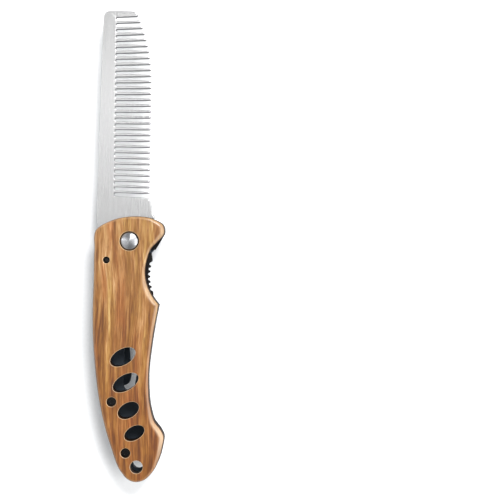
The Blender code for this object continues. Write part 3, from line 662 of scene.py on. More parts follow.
# %% Handle outline
# columns: x, y, width of the sanded edge, all in millimetres
HANDLE_OUTLINE = [
    (-13.5, 4.4, 1.2), (-7.4, 8.2, 1.2), (1.2, 9.9, 1.2), (9.9, 8.7, 1.6), (13.6, 6.3, 2.2), (14.0, 2.9, 2.4),
    (11.4, -0.2, 2.0), (8.6, -3.2, 1.4), (7.0, -7.5, 1.2), (6.3, -12.4, 1.6), (7.3, -18.2, 2.4),
    (9.3, -22.2, 2.6), (11.8, -25.6, 2.0), (10.35, -32.9, 1.8), (8.9, -41.8, 1.4), (7.6, -56.0, 1.2),
    (8.7, -68.0, 1.8), (10.0, -72.3, 2.4), (12.6, -75.8, 3.0), (13.7, -78.0, 3.0), (13.3, -82.4, 2.6),
    (12.0, -87.2, 2.0), (9.1, -92.8, 1.4), (5.6, -96.0, 1.2), (2.3, -96.7, 1.2), (-0.9, -95.5, 1.2),
    (-3.3, -92.8, 1.2), (-7.7, -82.0, 1.2), (-12.1, -64.5, 1.2), (-14.0, -49.3, 1.2), (-14.8, -35.6, 1.2),
    (-14.4, -13.5, 1.2), (-14.15, -3.5, 1.2),
]
HANDLE_CORNERS = {(11.8, -25.6)}
handle_rows = smooth_curve(HANDLE_OUTLINE, closed=True, step=0.55, corners=HANDLE_CORNERS)
handle_loop, sanded_width = handle_rows[:, :2], handle_rows[:, 2]
print("handle outline:", len(handle_rows), "points")

# %% [markdown]
# ## What goes through the handle
#
# Four slanted oval windows make the handle lighter. Two screws sit deep in counterbores, the stop pin shows
# in a small hole near the pivot, and a round hole at the end takes a lanyard.

# %% Holes and fasteners
# The four windows: x, y, length, width
WINDOWS = [
    (-2.6, -46.4, 11.1, 6.3), (-1.5, -56.7, 11.4, 6.2), (-0.4, -67.8, 9.2, 6.0), (2.0, -76.9, 8.7, 5.4),
]
WINDOW_TILT = math.radians(30.0)
LANYARD_HOLE, LANYARD_DIAMETER = (2.8, -90.5), 5.1
BODY_SCREWS = {"upper": (-7.2, -64.4), "lower": (-1.6, -84.9)}
CLIP_SCREWS = {"left": (-5.8, 0.1), "right": (6.1, -0.4)}
STOP_PIN = (-9.2, -7.6)
BARREL_DIAMETER, DOME_DIAMETER, DOME_SEAT = 5.0, 6.8, 7.8
PIVOT_SHANK, CLIP_SHANK, BODY_SHANK = 3.0, 2.2, 1.8
STOP_BACK_DIAMETER, STOP_DIAMETER, STOP_FRONT_DIAMETER = 3.4, 4.4, 2.1
WOOD_SCREW_HEAD, FRAME_SCREW_HEAD = 3.3, 2.8
windows = [oval((x, y), length, width, WINDOW_TILT) for x, y, length, width in WINDOWS]
print("windows:", len(windows), "screws in the wood:", len(BODY_SCREWS))

# %% [markdown]
# ## The wooden front
#
# The slab is 3.6 mm thick with a flat top. Its outer edge is sanded to a round that is as wide as the
# outline's third column says, and every hole has a small broken edge that catches the light as a thin rim.
# The slab also carries that width as a mark on its vertices, so that the material can paint a
# stronger highlight on wide edges.

# %% Wood
DOME_FLOOR = WOOD_BACK + 1.3
WOOD_SCREW_FLOOR = WOOD_BACK + 1.7
# Width and depth of the broken edge of a hole
RIM = (0.22, 0.22)
# The sanded edge is three quarters as deep as it is wide, and no deeper than this
EDGE_SLOPE, DEEPEST_EDGE = 0.75, 1.8
# The wood lies this far inside the liner, which shows as a thin dark line
WOOD_INSET = 0.05


def stepped_hole(centre, narrow, wide, low, floor, high, low_rim=(0, 0), high_rim=(0, 0)):
    """A counterbore: one round wall up to a floor and another, of a different width, from there on."""
    lower = wall(circle(centre, narrow), low, floor, low_edge=low_rim, hole=True)
    upper = wall(circle(centre, wide), floor, high, high_edge=high_rim, hole=True)
    return lower + upper


def wood_front():
    """The slab with its windows, its three counterbores and its two plain holes."""
    depth = np.minimum(DEEPEST_EDGE, EDGE_SLOPE * sanded_width)
    outline = inset(clockwise(handle_loop), WOOD_INSET)[0]
    walls = [wall(outline, WOOD_BACK, WOOD_FRONT, high_edge=(sanded_width, depth), segments=8)]
    walls += [wall(loop, WOOD_BACK, WOOD_FRONT, high_edge=RIM, hole=True) for loop in windows]
    walls.append(stepped_hole((0, 0), BARREL_DIAMETER + 2 * CLEARANCE, DOME_SEAT,
                              WOOD_BACK, DOME_FLOOR, WOOD_FRONT, high_rim=RIM))
    for centre in BODY_SCREWS.values():
        walls.append(stepped_hole(centre, BODY_SHANK + 2 * CLEARANCE, WOOD_SCREW_HEAD + 2 * CLEARANCE,
                                  WOOD_BACK, WOOD_SCREW_FLOOR, WOOD_FRONT, high_rim=RIM))
    rounds = [(STOP_PIN, STOP_FRONT_DIAMETER + 2 * CLEARANCE), (LANYARD_HOLE, LANYARD_DIAMETER)]
    walls += [wall(circle(centre, diameter), WOOD_BACK, WOOD_FRONT, high_edge=RIM, hole=True)
              for centre, diameter in rounds]
    return plate(walls)


def mark_sanding(bm):
    """Marks each vertex from 0 to 1 by the width of the sanded edge at the nearest point of the outline."""
    mark = bm.verts.layers.float.new("sanding")
    outline = np.array([in_frame(point, WOOD_FRONT) for point in handle_loop])[:, :2]
    narrow, wide = sanded_width.min(), sanded_width.max()
    for vert in bm.verts:
        nearest = np.argmin(np.hypot(*(outline - np.array(vert.co[:2])).T))
        vert[mark] = (sanded_width[nearest] - narrow) / (wide - narrow)
    return bm


finish_piece("acacia_front", mark_sanding(wood_front()), acacia, "handle", "wood_scale")

# %% [markdown]
# ## The lock liner
#
# Behind the wood lies a 1 mm plate of blackened steel. A slit frees a long bar in it, which springs over
# behind the comb's tang and locks it open. To unlock it, a thumb pushes the bar, so the bar's edge shows in
# the notch and has six saw-like teeth for grip. The liner follows the handle's outline, with the slit and
# the bar's free edge spliced in where the notch is.

# %% The lock bar
NOTCH_START, NOTCH_END = (14.0, 2.9), (9.3, -22.2)
SLIT_WIDTH = 0.9
SLIT_PATH = [
    (8.2, -4.3), (2.4, -5.2), (0.6, -7.0), (0.5, -14.0), (1.0, -22.0), (0.8, -28.6), (-0.6, -31.5),
    (-1.2, -35.0), (-1.4, -39.6),
]
LINER_NOSE = [(12.5, 0.4), (10.15, -3.5)]
LOCK_BAR_TIP = [(8.5, -4.7), (8.85, -7.1), (8.9, -8.1)]
THUMB_TEETH = 6
THUMB_TOP, THUMB_BOTTOM = (7.7, -8.9), (8.5, -21.2)
THUMB_DEPTH, THUMB_BOW = 0.85, 1.0
# One thumb tooth: share of the pitch, share of the depth
THUMB_SHAPE = [(0.0, 0.0), (0.28, 0.0), (0.33, 0.12), (0.52, 0.92), (0.57, 1.0), (0.78, 1.0), (0.84, 0.9)]


def thumb_teeth():
    """The saw-like thumb notches along a shallow hollow of the lock bar."""
    points = []
    for k in range(THUMB_TEETH):
        for share, rise in THUMB_SHAPE:
            t = (k + share) / THUMB_TEETH
            x = THUMB_TOP[0] + (THUMB_BOTTOM[0] - THUMB_TOP[0]) * t - THUMB_BOW * math.sin(math.pi * t)
            y = THUMB_TOP[1] + (THUMB_BOTTOM[1] - THUMB_TOP[1]) * t
            points.append((x + THUMB_DEPTH * rise, y))
    return points


def slit_side(path, side):
    """One edge of the slit, on the left (1) or right (-1) of its travel."""
    run = np.gradient(path, axis=0)
    run /= np.linalg.norm(run, axis=1)[:, None]
    return path + side * SLIT_WIDTH / 2 * np.stack((-run[:, 1], run[:, 0]), axis=1)


def liner_loop():
    """The handle outline with the lock bar, its slit and the thumb teeth in the notch."""
    start, end = (int(np.argmin(np.linalg.norm(handle_loop - point, axis=1)))
                  for point in (NOTCH_START, NOTCH_END))
    slit = smooth_curve(SLIT_PATH, closed=False, step=0.8)
    heading = math.degrees(math.atan2(*(slit[-1] - slit[-2])[::-1]))
    turn = arc(slit[-1], SLIT_WIDTH / 2, heading - 90.0, heading + 90.0, 10)[1:-1]
    return [*handle_loop[:start + 1], *LINER_NOSE, *slit_side(slit, -1), *turn, *slit_side(slit, 1)[::-1],
            *LOCK_BAR_TIP, *thumb_teeth(), *handle_loop[end:]]


print("liner outline:", len(liner_loop()), "points")

# %% Liner
THIN_EDGE = (0.10, 0.10)


def liner_plate():
    """The liner with the holes that it shares with the wood."""
    rounds = [((0, 0), BARREL_DIAMETER + 2 * CLEARANCE), (STOP_PIN, STOP_FRONT_DIAMETER + 2 * CLEARANCE),
              (LANYARD_HOLE, LANYARD_DIAMETER)]
    rounds += [(centre, BODY_SHANK + 2 * CLEARANCE) for centre in BODY_SCREWS.values()]
    holes = windows + [circle(centre, diameter) for centre, diameter in rounds]
    loops = [(liner_loop(), False)] + [(loop, True) for loop in holes]
    return plate([wall(loop, LINER_BACK, LINER_FRONT, THIN_EDGE, THIN_EDGE, hole, segments=2)
                  for loop, hole in loops])


finish_piece("black_lock_liner", liner_plate(), black_oxide, "handle", "lock_liner")

# %% [markdown]
# ## The back frame
#
# The back is a 2.4 mm steel plate, a little smaller than the wood. Its outer edge is a wide, shallow round
# that catches the light all the way along. A long slot under the clip saves weight, and two small screws
# sit in counterbores.

# %% Frame
FRAME_INSET = 0.8
FRAME_TOP_DROP, FRAME_DROP_START, FRAME_DROP_END = 1.5, 2.0, 6.0
FRAME_EDGE_EXTRA, FRAME_EDGE_DEPTH = 0.4, 1.2
FRAME_LOBE_EDGE, FRAME_LOBE_X, FRAME_LOBE_Y = 1.1, 8.0, -4.0
FRAME_SCREW_FLOOR = FRAME_BACK + 1.4
FRAME_LANYARD_DIAMETER = LANYARD_DIAMETER - 0.2
FRAME_SLOT = [
    (-1.5, -22.6), (1.2, -23.9), (2.2, -26.9), (1.5, -33.0), (1.4, -57.6), (0.7, -60.2), (-1.2, -61.3),
    (-3.1, -60.2), (-3.6, -57.6), (-3.2, -46.0), (-3.8, -35.0), (-4.3, -27.0), (-3.8, -23.8),
]
STEEL_RIM = (0.22, 0.22)


def frame_plate():
    """The handle's outline drawn in and cut lower at the top, with a narrower edge round the lobe."""
    loop, _ = inset(clockwise(handle_loop), FRAME_INSET)
    drop = np.clip((loop[:, 1] - FRAME_DROP_START) / (FRAME_DROP_END - FRAME_DROP_START), 0.0, 1.0)
    at_lobe = (handle_loop[:, 0] > FRAME_LOBE_X) & (handle_loop[:, 1] > FRAME_LOBE_Y)
    width = np.where(at_lobe, FRAME_LOBE_EDGE, sanded_width + FRAME_EDGE_EXTRA)
    loop = np.stack((loop[:, 0], loop[:, 1] - FRAME_TOP_DROP * drop), axis=1)
    walls = [wall(loop, FRAME_BACK, FRAME_FRONT, (width, FRAME_EDGE_DEPTH), STEEL_RIM, segments=8)]
    slot = smooth_curve(FRAME_SLOT, closed=True, step=0.7)
    rounds = [((0, 0), BARREL_DIAMETER + 2 * CLEARANCE), (STOP_PIN, STOP_BACK_DIAMETER + 2 * CLEARANCE),
              (LANYARD_HOLE, FRAME_LANYARD_DIAMETER)]
    rounds += [(centre, CLIP_SHANK + 2 * CLEARANCE) for centre in CLIP_SCREWS.values()]
    for hole in [slot, *[circle(centre, diameter) for centre, diameter in rounds]]:
        walls.append(wall(hole, FRAME_BACK, FRAME_FRONT, low_edge=STEEL_RIM, hole=True))
    for centre in BODY_SCREWS.values():
        walls.append(stepped_hole(centre, FRAME_SCREW_HEAD + 2 * CLEARANCE, BODY_SHANK + 2 * CLEARANCE,
                                  FRAME_BACK, FRAME_SCREW_FLOOR, FRAME_FRONT, low_rim=STEEL_RIM))
    return plate(walls)


finish_piece("blasted_back_frame", frame_plate(), blasted_steel, "handle", "back_frame")

# %% [markdown]
# ## The pocket clip
#
# The clip is cut from 1.2 mm strip: a round plate held by three screws, a step away from the frame, and a
# long tapering tongue that comes back to it and flares at the tip. It is drawn flat, sliced across wherever
# it bends, and then each point is moved to the height of the bend at its place along the handle.

# %% Clip
CLIP_THICKNESS = 1.2
CLIP_EDGE = (0.25, 0.25)
CLIP_OUTLINE = [
    (10.8, 2.6), (6.5, 5.4), (1.9, 6.3), (-4.8, 5.9), (-8.1, 3.7), (-8.5, -1.1), (-8.3, -10.5),
    (-8.1, -22.6), (-8.2, -33.3), (-7.8, -48.7), (-7.4, -55.5), (-6.3, -58.3), (-3.9, -59.4), (-1.5, -58.3),
    (-0.5, -55.6), (-0.7, -50.2), (-1.2, -42.7), (-1.0, -35.3), (0.4, -24.7), (1.6, -18.1), (3.5, -12.4),
    (6.4, -6.5), (9.5, -3.0), (11.4, 0.1),
]
CLIP_WINDOW = [
    (-1.3, -14.2), (-1.0, -14.9), (-2.8, -22.0), (-4.05, -29.0), (-4.6, -36.0), (-4.4, -43.0),
    (-3.9, -49.5), (-4.1, -50.3), (-4.65, -50.7), (-5.2, -50.3), (-5.4, -49.5), (-6.2, -38.0),
    (-6.29, -27.4), (-6.3, -14.9), (-6.0, -14.2),
]
WINDOW_CORNERS = {(-1.3, -14.2), (-6.0, -14.2)}
# Height of the inner face. Columns: y, height
CLIP_RISE = [
    (8.0, 3.9), (-5.5, 3.9), (-7.0, 3.55), (-8.5, 2.6), (-10.0, 1.65), (-11.5, 1.25), (-12.5, 1.2),
    (-16.5, 1.2), (-19.0, 1.35), (-24.0, 1.75), (-40.0, 2.95), (-52.0, 3.75), (-55.5, 3.85), (-60.0, 3.5),
]
# The slices lie close together in the step and at the tip, and far apart on the long tongue: from, to, step
CLIP_SLICES = [(-5.5, -20.0, -0.5), (-21.0, -52.0, -3.0), (-52.0, -59.0, -0.7)]


def clip_plate():
    """The clip, cut flat and then bent."""
    outline = smooth_curve(CLIP_OUTLINE, closed=True, step=0.6)
    window = smooth_curve(CLIP_WINDOW, closed=True, step=0.7, corners=WINDOW_CORNERS)
    walls = [wall(outline, -CLIP_THICKNESS, 0.0, CLIP_EDGE, CLIP_EDGE)]
    rounds = [circle((0, 0), PIVOT_SHANK + 2 * CLEARANCE)]
    rounds += [circle(centre, CLIP_SHANK + 2 * CLEARANCE) for centre in CLIP_SCREWS.values()]
    walls += [wall(hole, -CLIP_THICKNESS, 0.0, CLIP_EDGE, hole=True) for hole in [window, *rounds]]
    bm = plate(walls)
    for y in np.concatenate([np.arange(*span) for span in CLIP_SLICES]):
        everything = bm.verts[:] + bm.edges[:] + bm.faces[:]
        bmesh.ops.bisect_plane(bm, geom=everything, dist=SAME_PLACE,
                               plane_co=in_frame((0, y), 0.0), plane_no=(0, 1, 0))
    rise = smooth_curve(CLIP_RISE, closed=False, step=0.4)[::-1]
    for vert in bm.verts:
        bend = np.interp((vert.co.y - pivot.y) / MM, rise[:, 0], rise[:, 1])
        # Where the clip touches the table its outer face is at 0, and none of it may be lower
        vert.co.z += max(bend, CLIP_THICKNESS) * MM
    return bm


finish_piece("tumbled_pocket_clip", clip_plate(), tumbled_steel, "handle", "pocket_clip")

# %% [markdown]
# ## The comb plate
#
# The comb is cut from 2 mm stainless plate with 31 slots. Their pitch is even, apart from a slight drift,
# and they tilt by a few degrees from tip to heel, as the fan of teeth in the photograph does. The slots are
# worked out one by one from the line of their roots and the line of the tooth tips. The teeth are rounded
# more than the spine, and their tips are eased most, so that they don't scratch.

# %% Slots and teeth
SLOT_COUNT, SLOT_WIDTH = 31, 1.46
FIRST_SLOT_Y, FIRST_PITCH, PITCH_CHANGE = 90.25, 2.46, 0.00239
SLOT_MIDDLE_X, ROOT_X_TIP, ROOT_X_HEEL = 1.0, -6.1, -7.0
SLOT_TILT_TIP, SLOT_TILT_HEEL = math.radians(-1.3), math.radians(2.7)
TOOTH_LINE_X, TOOTH_LINE_Y, TOOTH_LINE_TAPER, TOOTH_LINE_CURVE = 8.3, 66.0, 0.0175, 0.0084


def slot_line(i):
    """Middle height, direction and root of slot i, counted from the tip."""
    share = i / (SLOT_COUNT - 1)
    y = FIRST_SLOT_Y - FIRST_PITCH * i + PITCH_CHANGE * i * i
    tilt = SLOT_TILT_TIP + (SLOT_TILT_HEEL - SLOT_TILT_TIP) * share
    return y, tilt, ROOT_X_TIP + (ROOT_X_HEEL - ROOT_X_TIP) * share


def tooth_line(y):
    """x of the tooth tips: a slow taper to the heel and a curve towards the comb's tip."""
    if y > TOOTH_LINE_Y:
        return TOOTH_LINE_X - TOOTH_LINE_CURVE * (y - TOOTH_LINE_Y) ** 2
    return TOOTH_LINE_X - TOOTH_LINE_TAPER * (TOOTH_LINE_Y - y)


def slot_edge(i, x, side):
    """A point on the upper (1) or lower (-1) edge of slot i at this x."""
    y, tilt, _ = slot_line(i)
    return (x, y - (x - SLOT_MIDDLE_X) * math.tan(tilt) + side * SLOT_WIDTH / 2 / math.cos(tilt))


def slot_root(i):
    """The round root of slot i, from its upper edge to its lower edge."""
    y, tilt, root = slot_line(i)
    centre_x = root + SLOT_WIDTH / 2
    centre = (centre_x, y - (centre_x - SLOT_MIDDLE_X) * math.tan(tilt))
    turn = math.degrees(tilt)
    return arc(centre, SLOT_WIDTH / 2, 90.0 - turn, 270.0 - turn, 12)


def tooth_tip(i):
    """The round end of the tooth below slot i, from its upper corner to its lower one."""
    y, tilt, _ = slot_line(i)
    reach = tooth_line((y + slot_line(i + 1)[0]) / 2)
    radius = (slot_edge(i, reach, -1)[1] - slot_edge(i + 1, reach, 1)[1]) / 2
    centre_x = reach - radius
    centre = (centre_x, (slot_edge(i, centre_x, -1)[1] + slot_edge(i + 1, centre_x, 1)[1]) / 2)
    turn = math.degrees(tilt)
    return arc(centre, radius, 90.0 - turn, -90.0 - turn, 10)


print(f"slots: {SLOT_COUNT}, from y {FIRST_SLOT_Y} to {slot_line(SLOT_COUNT - 1)[0]:.2f} mm")

# %% The comb's outline
SWING = math.radians(frame["joints"][0]["range_deg"][1])
# Arcs as radius, first and last angle and steps. The corners have their centre first
SPINE_CORNER = ((-8.4, 90.7), 2.65, 170.0, 97.0, 10)
TIP_CORNER = ((1.75, 91.95), 1.15, 82.0, -20.0, 10)
STOP_RECESS = (2.55, 100.0, 232.0, 16)
TANG = (7.2, 6.0, -78.0, 18)
# The stretches between arcs and slots, clockwise
SPINE = [(-13.85, 9.7), (-13.2, 30.0), (-12.5, 50.0), (-11.8, 70.0), (-11.1, 89.6)]
TIP_END = [(-4.0, 93.4), (0.6, 93.2)]
HEEL = [(7.9, 16.2), (8.4, 14.0), (8.56, 11.2), (9.0, 10.8), (9.4, 10.3), (9.5, 9.6)]
TANG_END = [(-4.5, -5.35), (-8.6, -5.1), (-10.6, -4.7), (-11.8, -3.9), (-12.5, -2.4), (-12.8, 0.7)]
# Where the first slot opens in the tip's end and the last one in the heel
FIRST_SLOT_X, LAST_SLOT_X = 2.4, 7.3


def comb_loop():
    """Clockwise from the spine's heel: spine, tip, teeth, heel, stop recess and tang."""
    points = [*SPINE, *arc(*SPINE_CORNER), *TIP_END, *arc(*TIP_CORNER), slot_edge(0, FIRST_SLOT_X, 1)]
    for i in range(SLOT_COUNT):
        points += slot_root(i)
        if i < SLOT_COUNT - 1:
            points += tooth_tip(i)
    points += [slot_edge(SLOT_COUNT - 1, LAST_SLOT_X, -1), *HEEL]
    # The place of the stop pin as the comb sees it when it is folded
    stop = np.array([[math.cos(SWING), -math.sin(SWING)], [math.sin(SWING), math.cos(SWING)]]) @ STOP_PIN
    return [*points, *arc(stop, *STOP_RECESS), *arc((0, 0), *TANG), *TANG_END]


print("comb outline:", len(comb_loop()), "points")

# %% Comb
STUDS = {"spine": (-10.4, 7.0), "teeth": (4.0, 11.0)}
STUD_SHANK, STUD_DIAMETER = 1.6, 3.2
STUD_HOLE_FLOOR = COMB_BACK + 1.2
# Rounding of the spine and the roots, what the teeth have more, and what their tips have on top of that
PLATE_EASE, TOOTH_EASE, TIP_EASE_WIDTH, TIP_EASE_DEPTH = 0.12, 0.16, 0.06, 0.26
# The teeth start this far past the line of the roots, and their tips are this long
ROOT_LENGTH, TIP_LENGTH = 0.7, 1.0
# Below this the edge is the heel's and has no tips
TEETH_END_Y = 18.0


def comb_plate():
    """The comb with its pivot hole and two blind holes for the studs."""
    loop = clockwise(comb_loop())
    tips = np.array([tooth_line(y) for y in loop[:, 1]])
    at_tip = np.clip((loop[:, 0] - tips + TIP_LENGTH) / TIP_LENGTH, 0.0, 1.0) * (loop[:, 1] > TEETH_END_Y)
    roots = np.interp(loop[:, 1], (slot_line(SLOT_COUNT - 1)[0], FIRST_SLOT_Y), (ROOT_X_HEEL, ROOT_X_TIP))
    on_tooth = np.clip(loop[:, 0] - roots - ROOT_LENGTH, 0.0, 1.0)
    ease = PLATE_EASE + TOOTH_EASE * on_tooth
    edge = (ease + TIP_EASE_WIDTH * at_tip, ease + TIP_EASE_DEPTH * at_tip)
    walls = [wall(loop, COMB_BACK, COMB_FRONT, edge, edge, segments=4)]
    walls.append(wall(circle((0, 0), BARREL_DIAMETER + 2 * CLEARANCE), COMB_BACK, COMB_FRONT, hole=True))
    pockets = [wall(circle(centre, STUD_SHANK + 2 * CLEARANCE, 24), COMB_BACK, STUD_HOLE_FLOOR, hole=True)
               for centre in STUDS.values()]
    return plate(walls, pockets)


finish_piece("stainless_comb_plate", comb_plate(), satin_stainless, "comb", "comb")

# %% [markdown]
# ## Turned pieces
#
# Screws, pins and the pivot are turned on a lathe, so each is one profile spun round its axis. A profile is
# a list of radius and height. A third number turns a ring into the six-lobed star of a modern screw socket:
# the radius swings in and out six times round the circle.

# %% A lathe
# The share of its radius by which a socket's wall swings, and how often it does so round the circle
SOCKET_LOBE, LOBES_ROUND = 0.14, 6


def turned(centre, profile, sides=72):
    """Spins a profile round the centre. Radius 0 is a point on the axis; off the axis, the profile closes."""
    bm = bmesh.new()
    rings = []
    turn = np.linspace(0.0, math.tau, sides, endpoint=False)
    for radius, height, *lobe in profile:
        if radius == 0:
            rings.append([bm.verts.new(in_frame(centre, height))])
            continue
        reach = radius * (1 + sum(lobe) * np.cos(LOBES_ROUND * turn))
        points = np.stack((centre[0] + reach * np.cos(turn), centre[1] + reach * np.sin(turn)), axis=1)
        rings.append([bm.verts.new(in_frame(point, height)) for point in points])
    pairs = list(zip(rings, rings[1:]))
    if profile[0][0] != 0:
        pairs.append((rings[-1], rings[0]))
    for low, high in pairs:
        for i in range(sides):
            j = (i + 1) % sides
            add_face(bm, (low[i % len(low)], low[j % len(low)], high[j % len(high)], high[i % len(high)]))
    return bm


def rounded(radius, height, edge, towards):
    """Profile rows of a rounded corner, from the wall at this radius to the face at this height.

    The face looks up where towards is 1 and down where it is -1.
    """
    return [(radius - edge * (1 - math.cos(angle)), height - towards * edge * (1 - math.sin(angle)))
            for angle in np.radians(np.linspace(0.0, 90.0, 5))]


# %% [markdown]
# ## The pivot
#
# The pivot's head is a shallow polished dome in a round seat in the wood. Its barrel runs through liner,
# comb and frame, and a screw from the clip side goes into it. The dome is a flattened ball, and a curved
# mirror shows the whole room, so it needs many rings.

# %% Dome and barrel
DOME_HEIGHT = 0.9
# Angles of the rings from the dome's rim to just short of its top
DOME_RINGS = np.radians(np.linspace(6.0, 84.0, 14))
BARREL_BORE = 3.6


def pivot_piece():
    """The dome, its barrel and the barrel's blind bore, from the bore's floor to the top of the dome."""
    radius, head, bore = BARREL_DIAMETER / 2, DOME_DIAMETER / 2, BARREL_BORE / 2
    bottom, top = layer("pivot_barrel")
    shoulder = DOME_FLOOR + CLEARANCE
    rim = top - DOME_HEIGHT
    profile = [(0, LINER_BACK), (bore, LINER_BACK), (bore, bottom), (radius, bottom), (radius, shoulder),
               (head, shoulder), (head, rim)]
    for angle in DOME_RINGS:
        profile.append((head * math.cos(angle), rim + DOME_HEIGHT * math.sin(angle)))
    return turned((0, 0), [*profile, (0, top)], 96)


finish_piece("polished_pivot_head", pivot_piece(), polished_steel, "handle", "pivot_barrel")

# %% [markdown]
# ## Washer, stop pin and pillars
#
# The washer and the two pillars sit between the plates. Only their edges show when you look into the handle
# from the side, so they are plain turned pieces with slightly broken corners. The stop pin goes through all
# the layers and shows one end in the wood and the other in the frame.

# %% Inside fittings
WASHER_DIAMETER, PILLAR_DIAMETER = 10.0, 5.0
FITTING_CORNER, PIN_CORNER = 0.12, 0.15


def ring_piece(centre, node, bore, diameter):
    """A washer or a pillar, from the bottom to the top of its node."""
    low, high = layer(node)
    return turned(centre, [(bore / 2, low), *rounded(diameter / 2, low, FITTING_CORNER, -1)[::-1],
                           *rounded(diameter / 2, high, FITTING_CORNER, 1), (bore / 2, high)])


def stop_pin_piece():
    """The pin: a thin front end, a thick middle that stops the tang, and a back end in the frame."""
    low, high = layer("stop_pin")
    back, middle, front = STOP_BACK_DIAMETER / 2, STOP_DIAMETER / 2, STOP_FRONT_DIAMETER / 2
    return turned(STOP_PIN, [
        (0, low), *rounded(back, low, PIN_CORNER, -1)[::-1], (back, FRAME_FRONT + CLEARANCE),
        (middle, FRAME_FRONT + CLEARANCE), (middle, LINER_BACK - CLEARANCE), (front, LINER_BACK - CLEARANCE),
        *rounded(front, high, PIN_CORNER, 1), (0, high)])


finish_piece("bronze_washer", ring_piece((0, 0), "pivot_washer", BARREL_DIAMETER + 2 * CLEARANCE,
                                         WASHER_DIAMETER), bronze, "handle", "pivot_washer")
finish_piece("black_stop_pin", stop_pin_piece(), dark_pin, "handle", "stop_pin")
for place, centre in BODY_SCREWS.items():
    node = "pillar_" + place
    finish_piece("steel_" + node, ring_piece(centre, node, BODY_SHANK + 2 * CLEARANCE, PILLAR_DIAMETER),
                 tumbled_steel, "handle", node)

# %% [markdown]
# ## Screws
#
# The clip is held by three button heads of black oxide steel, and the two pillars by small flat heads from
# both sides. A button head is a flattened dome with a six-lobed socket, and a flat head is a short drum with
# the same kind of socket.

# %% Two shapes of screw
CLIP_FACE = FRAME_BACK - CLEARANCE - CLIP_THICKNESS
# A socket's depth as a share of the head's height, and its floor and mouth as shares of its radius
SOCKET_DEPTH, SOCKET_FLOOR, SOCKET_MOUTH = 0.6, 0.9, 1.06
# Broken edges inside a button's socket and inside a flat head's, and the flat ring round the button's
BUTTON_SOCKET_EDGE, FLAT_SOCKET_EDGE, BUTTON_LIP = 0.08, 0.06, 0.15
# A button's dome is this much of an arc and this share of the head's height
BUTTON_ARC, BUTTON_DOME = math.radians(80.0), 0.8
FLAT_CORNER = 0.15


def button_screw(centre, node, head, shank, socket):
    """A button head that points down, with its shank up to the top of its node."""
    top, end = layer(node)
    seat = CLIP_FACE - CLEARANCE
    height = seat - top
    floor = top + SOCKET_DEPTH * height
    radius = head / 2
    lip = socket * (1 + SOCKET_LOBE) + BUTTON_LIP
    profile = [(0, floor), (socket * SOCKET_FLOOR, floor, SOCKET_LOBE),
               (socket, floor - BUTTON_SOCKET_EDGE, SOCKET_LOBE),
               (socket, top + BUTTON_SOCKET_EDGE, SOCKET_LOBE),
               (socket * SOCKET_MOUTH, top, SOCKET_LOBE), (lip, top)]
    for angle in np.linspace(0.1, 1.0, 10) * BUTTON_ARC:
        profile.append((lip + (radius - lip) * math.sin(angle) / math.sin(BUTTON_ARC),
                        top + BUTTON_DOME * height * (1 - math.cos(angle)) / (1 - math.cos(BUTTON_ARC))))
    return turned(centre, [*profile, (radius, seat), (shank / 2, seat), (shank / 2, end), (0, end)])


def flat_screw(centre, head, top, seat, end, socket):
    """A flat head between top and seat, which may lie either way up, with its shank on to end."""
    way = 1 if seat > top else -1
    floor = top + SOCKET_DEPTH * (seat - top)
    return turned(centre, [
        (0, floor), (socket * SOCKET_FLOOR, floor, SOCKET_LOBE),
        (socket, floor - way * FLAT_SOCKET_EDGE, SOCKET_LOBE), (socket, top, SOCKET_LOBE),
        *rounded(head / 2, top, FLAT_CORNER, -way)[::-1], (head / 2, seat),
        (BODY_SHANK / 2, seat), (BODY_SHANK / 2, end), (0, end)])


print(f"clip face at {CLIP_FACE:.2f} mm")

# %% Screws
PIVOT_SCREW_HEAD, CLIP_SCREW_HEAD = 5.6, 4.5
PIVOT_SOCKET, CLIP_SOCKET, WOOD_SOCKET, FRAME_SOCKET = 1.25, 0.95, 0.8, 0.7


def finish_screw(node, bm):
    """Finishes a black screw of the handle."""
    finish_piece("black_" + node, bm, black_oxide, "handle", node)


finish_screw("pivot_screw", button_screw((0, 0), "pivot_screw", PIVOT_SCREW_HEAD, PIVOT_SHANK, PIVOT_SOCKET))
for side, centre in CLIP_SCREWS.items():
    node = "clip_screw_" + side
    finish_screw(node, button_screw(centre, node, CLIP_SCREW_HEAD, CLIP_SHANK, CLIP_SOCKET))
for place, centre in BODY_SCREWS.items():
    node = "wood_screw_" + place
    low, high = layer(node)
    seat = WOOD_SCREW_FLOOR + CLEARANCE
    finish_screw(node, flat_screw(centre, WOOD_SCREW_HEAD, high, seat, low, WOOD_SOCKET))
    node = "frame_screw_" + place
    low, high = layer(node)
    seat = FRAME_SCREW_FLOOR - CLEARANCE
    finish_screw(node, flat_screw(centre, FRAME_SCREW_HEAD, low, seat, high, FRAME_SOCKET))

# %% [markdown]
# ## Studs on the comb
#
# Two small studs stand on the back of the comb plate, near the pivot. A finger pushes the comb open with
# them. They are turned and polished like the pivot, with a socket in the outer face and a rounded rim.

# %% Studs
STUD_SOCKET, STUD_SOCKET_DEPTH, STUD_CORNER = 0.65, 0.45, 0.22


def stud_piece(centre, node):
    """A stud that points down, with its shank up into the comb plate."""
    low, high = layer(node)
    radius, seat, floor = STUD_DIAMETER / 2, COMB_BACK - CLEARANCE, low + STUD_SOCKET_DEPTH
    return turned(centre, [
        (0, floor), (STUD_SOCKET, floor, SOCKET_LOBE), (STUD_SOCKET, low, SOCKET_LOBE),
        *rounded(radius, low, STUD_CORNER, -1)[::-1], (radius, seat), (STUD_SHANK / 2, seat),
        (STUD_SHANK / 2, high), (0, high)])


for side, centre in STUDS.items():
    node = "comb_stud_" + side
    finish_piece("polished_" + node, stud_piece(centre, node), polished_steel, "comb", node)

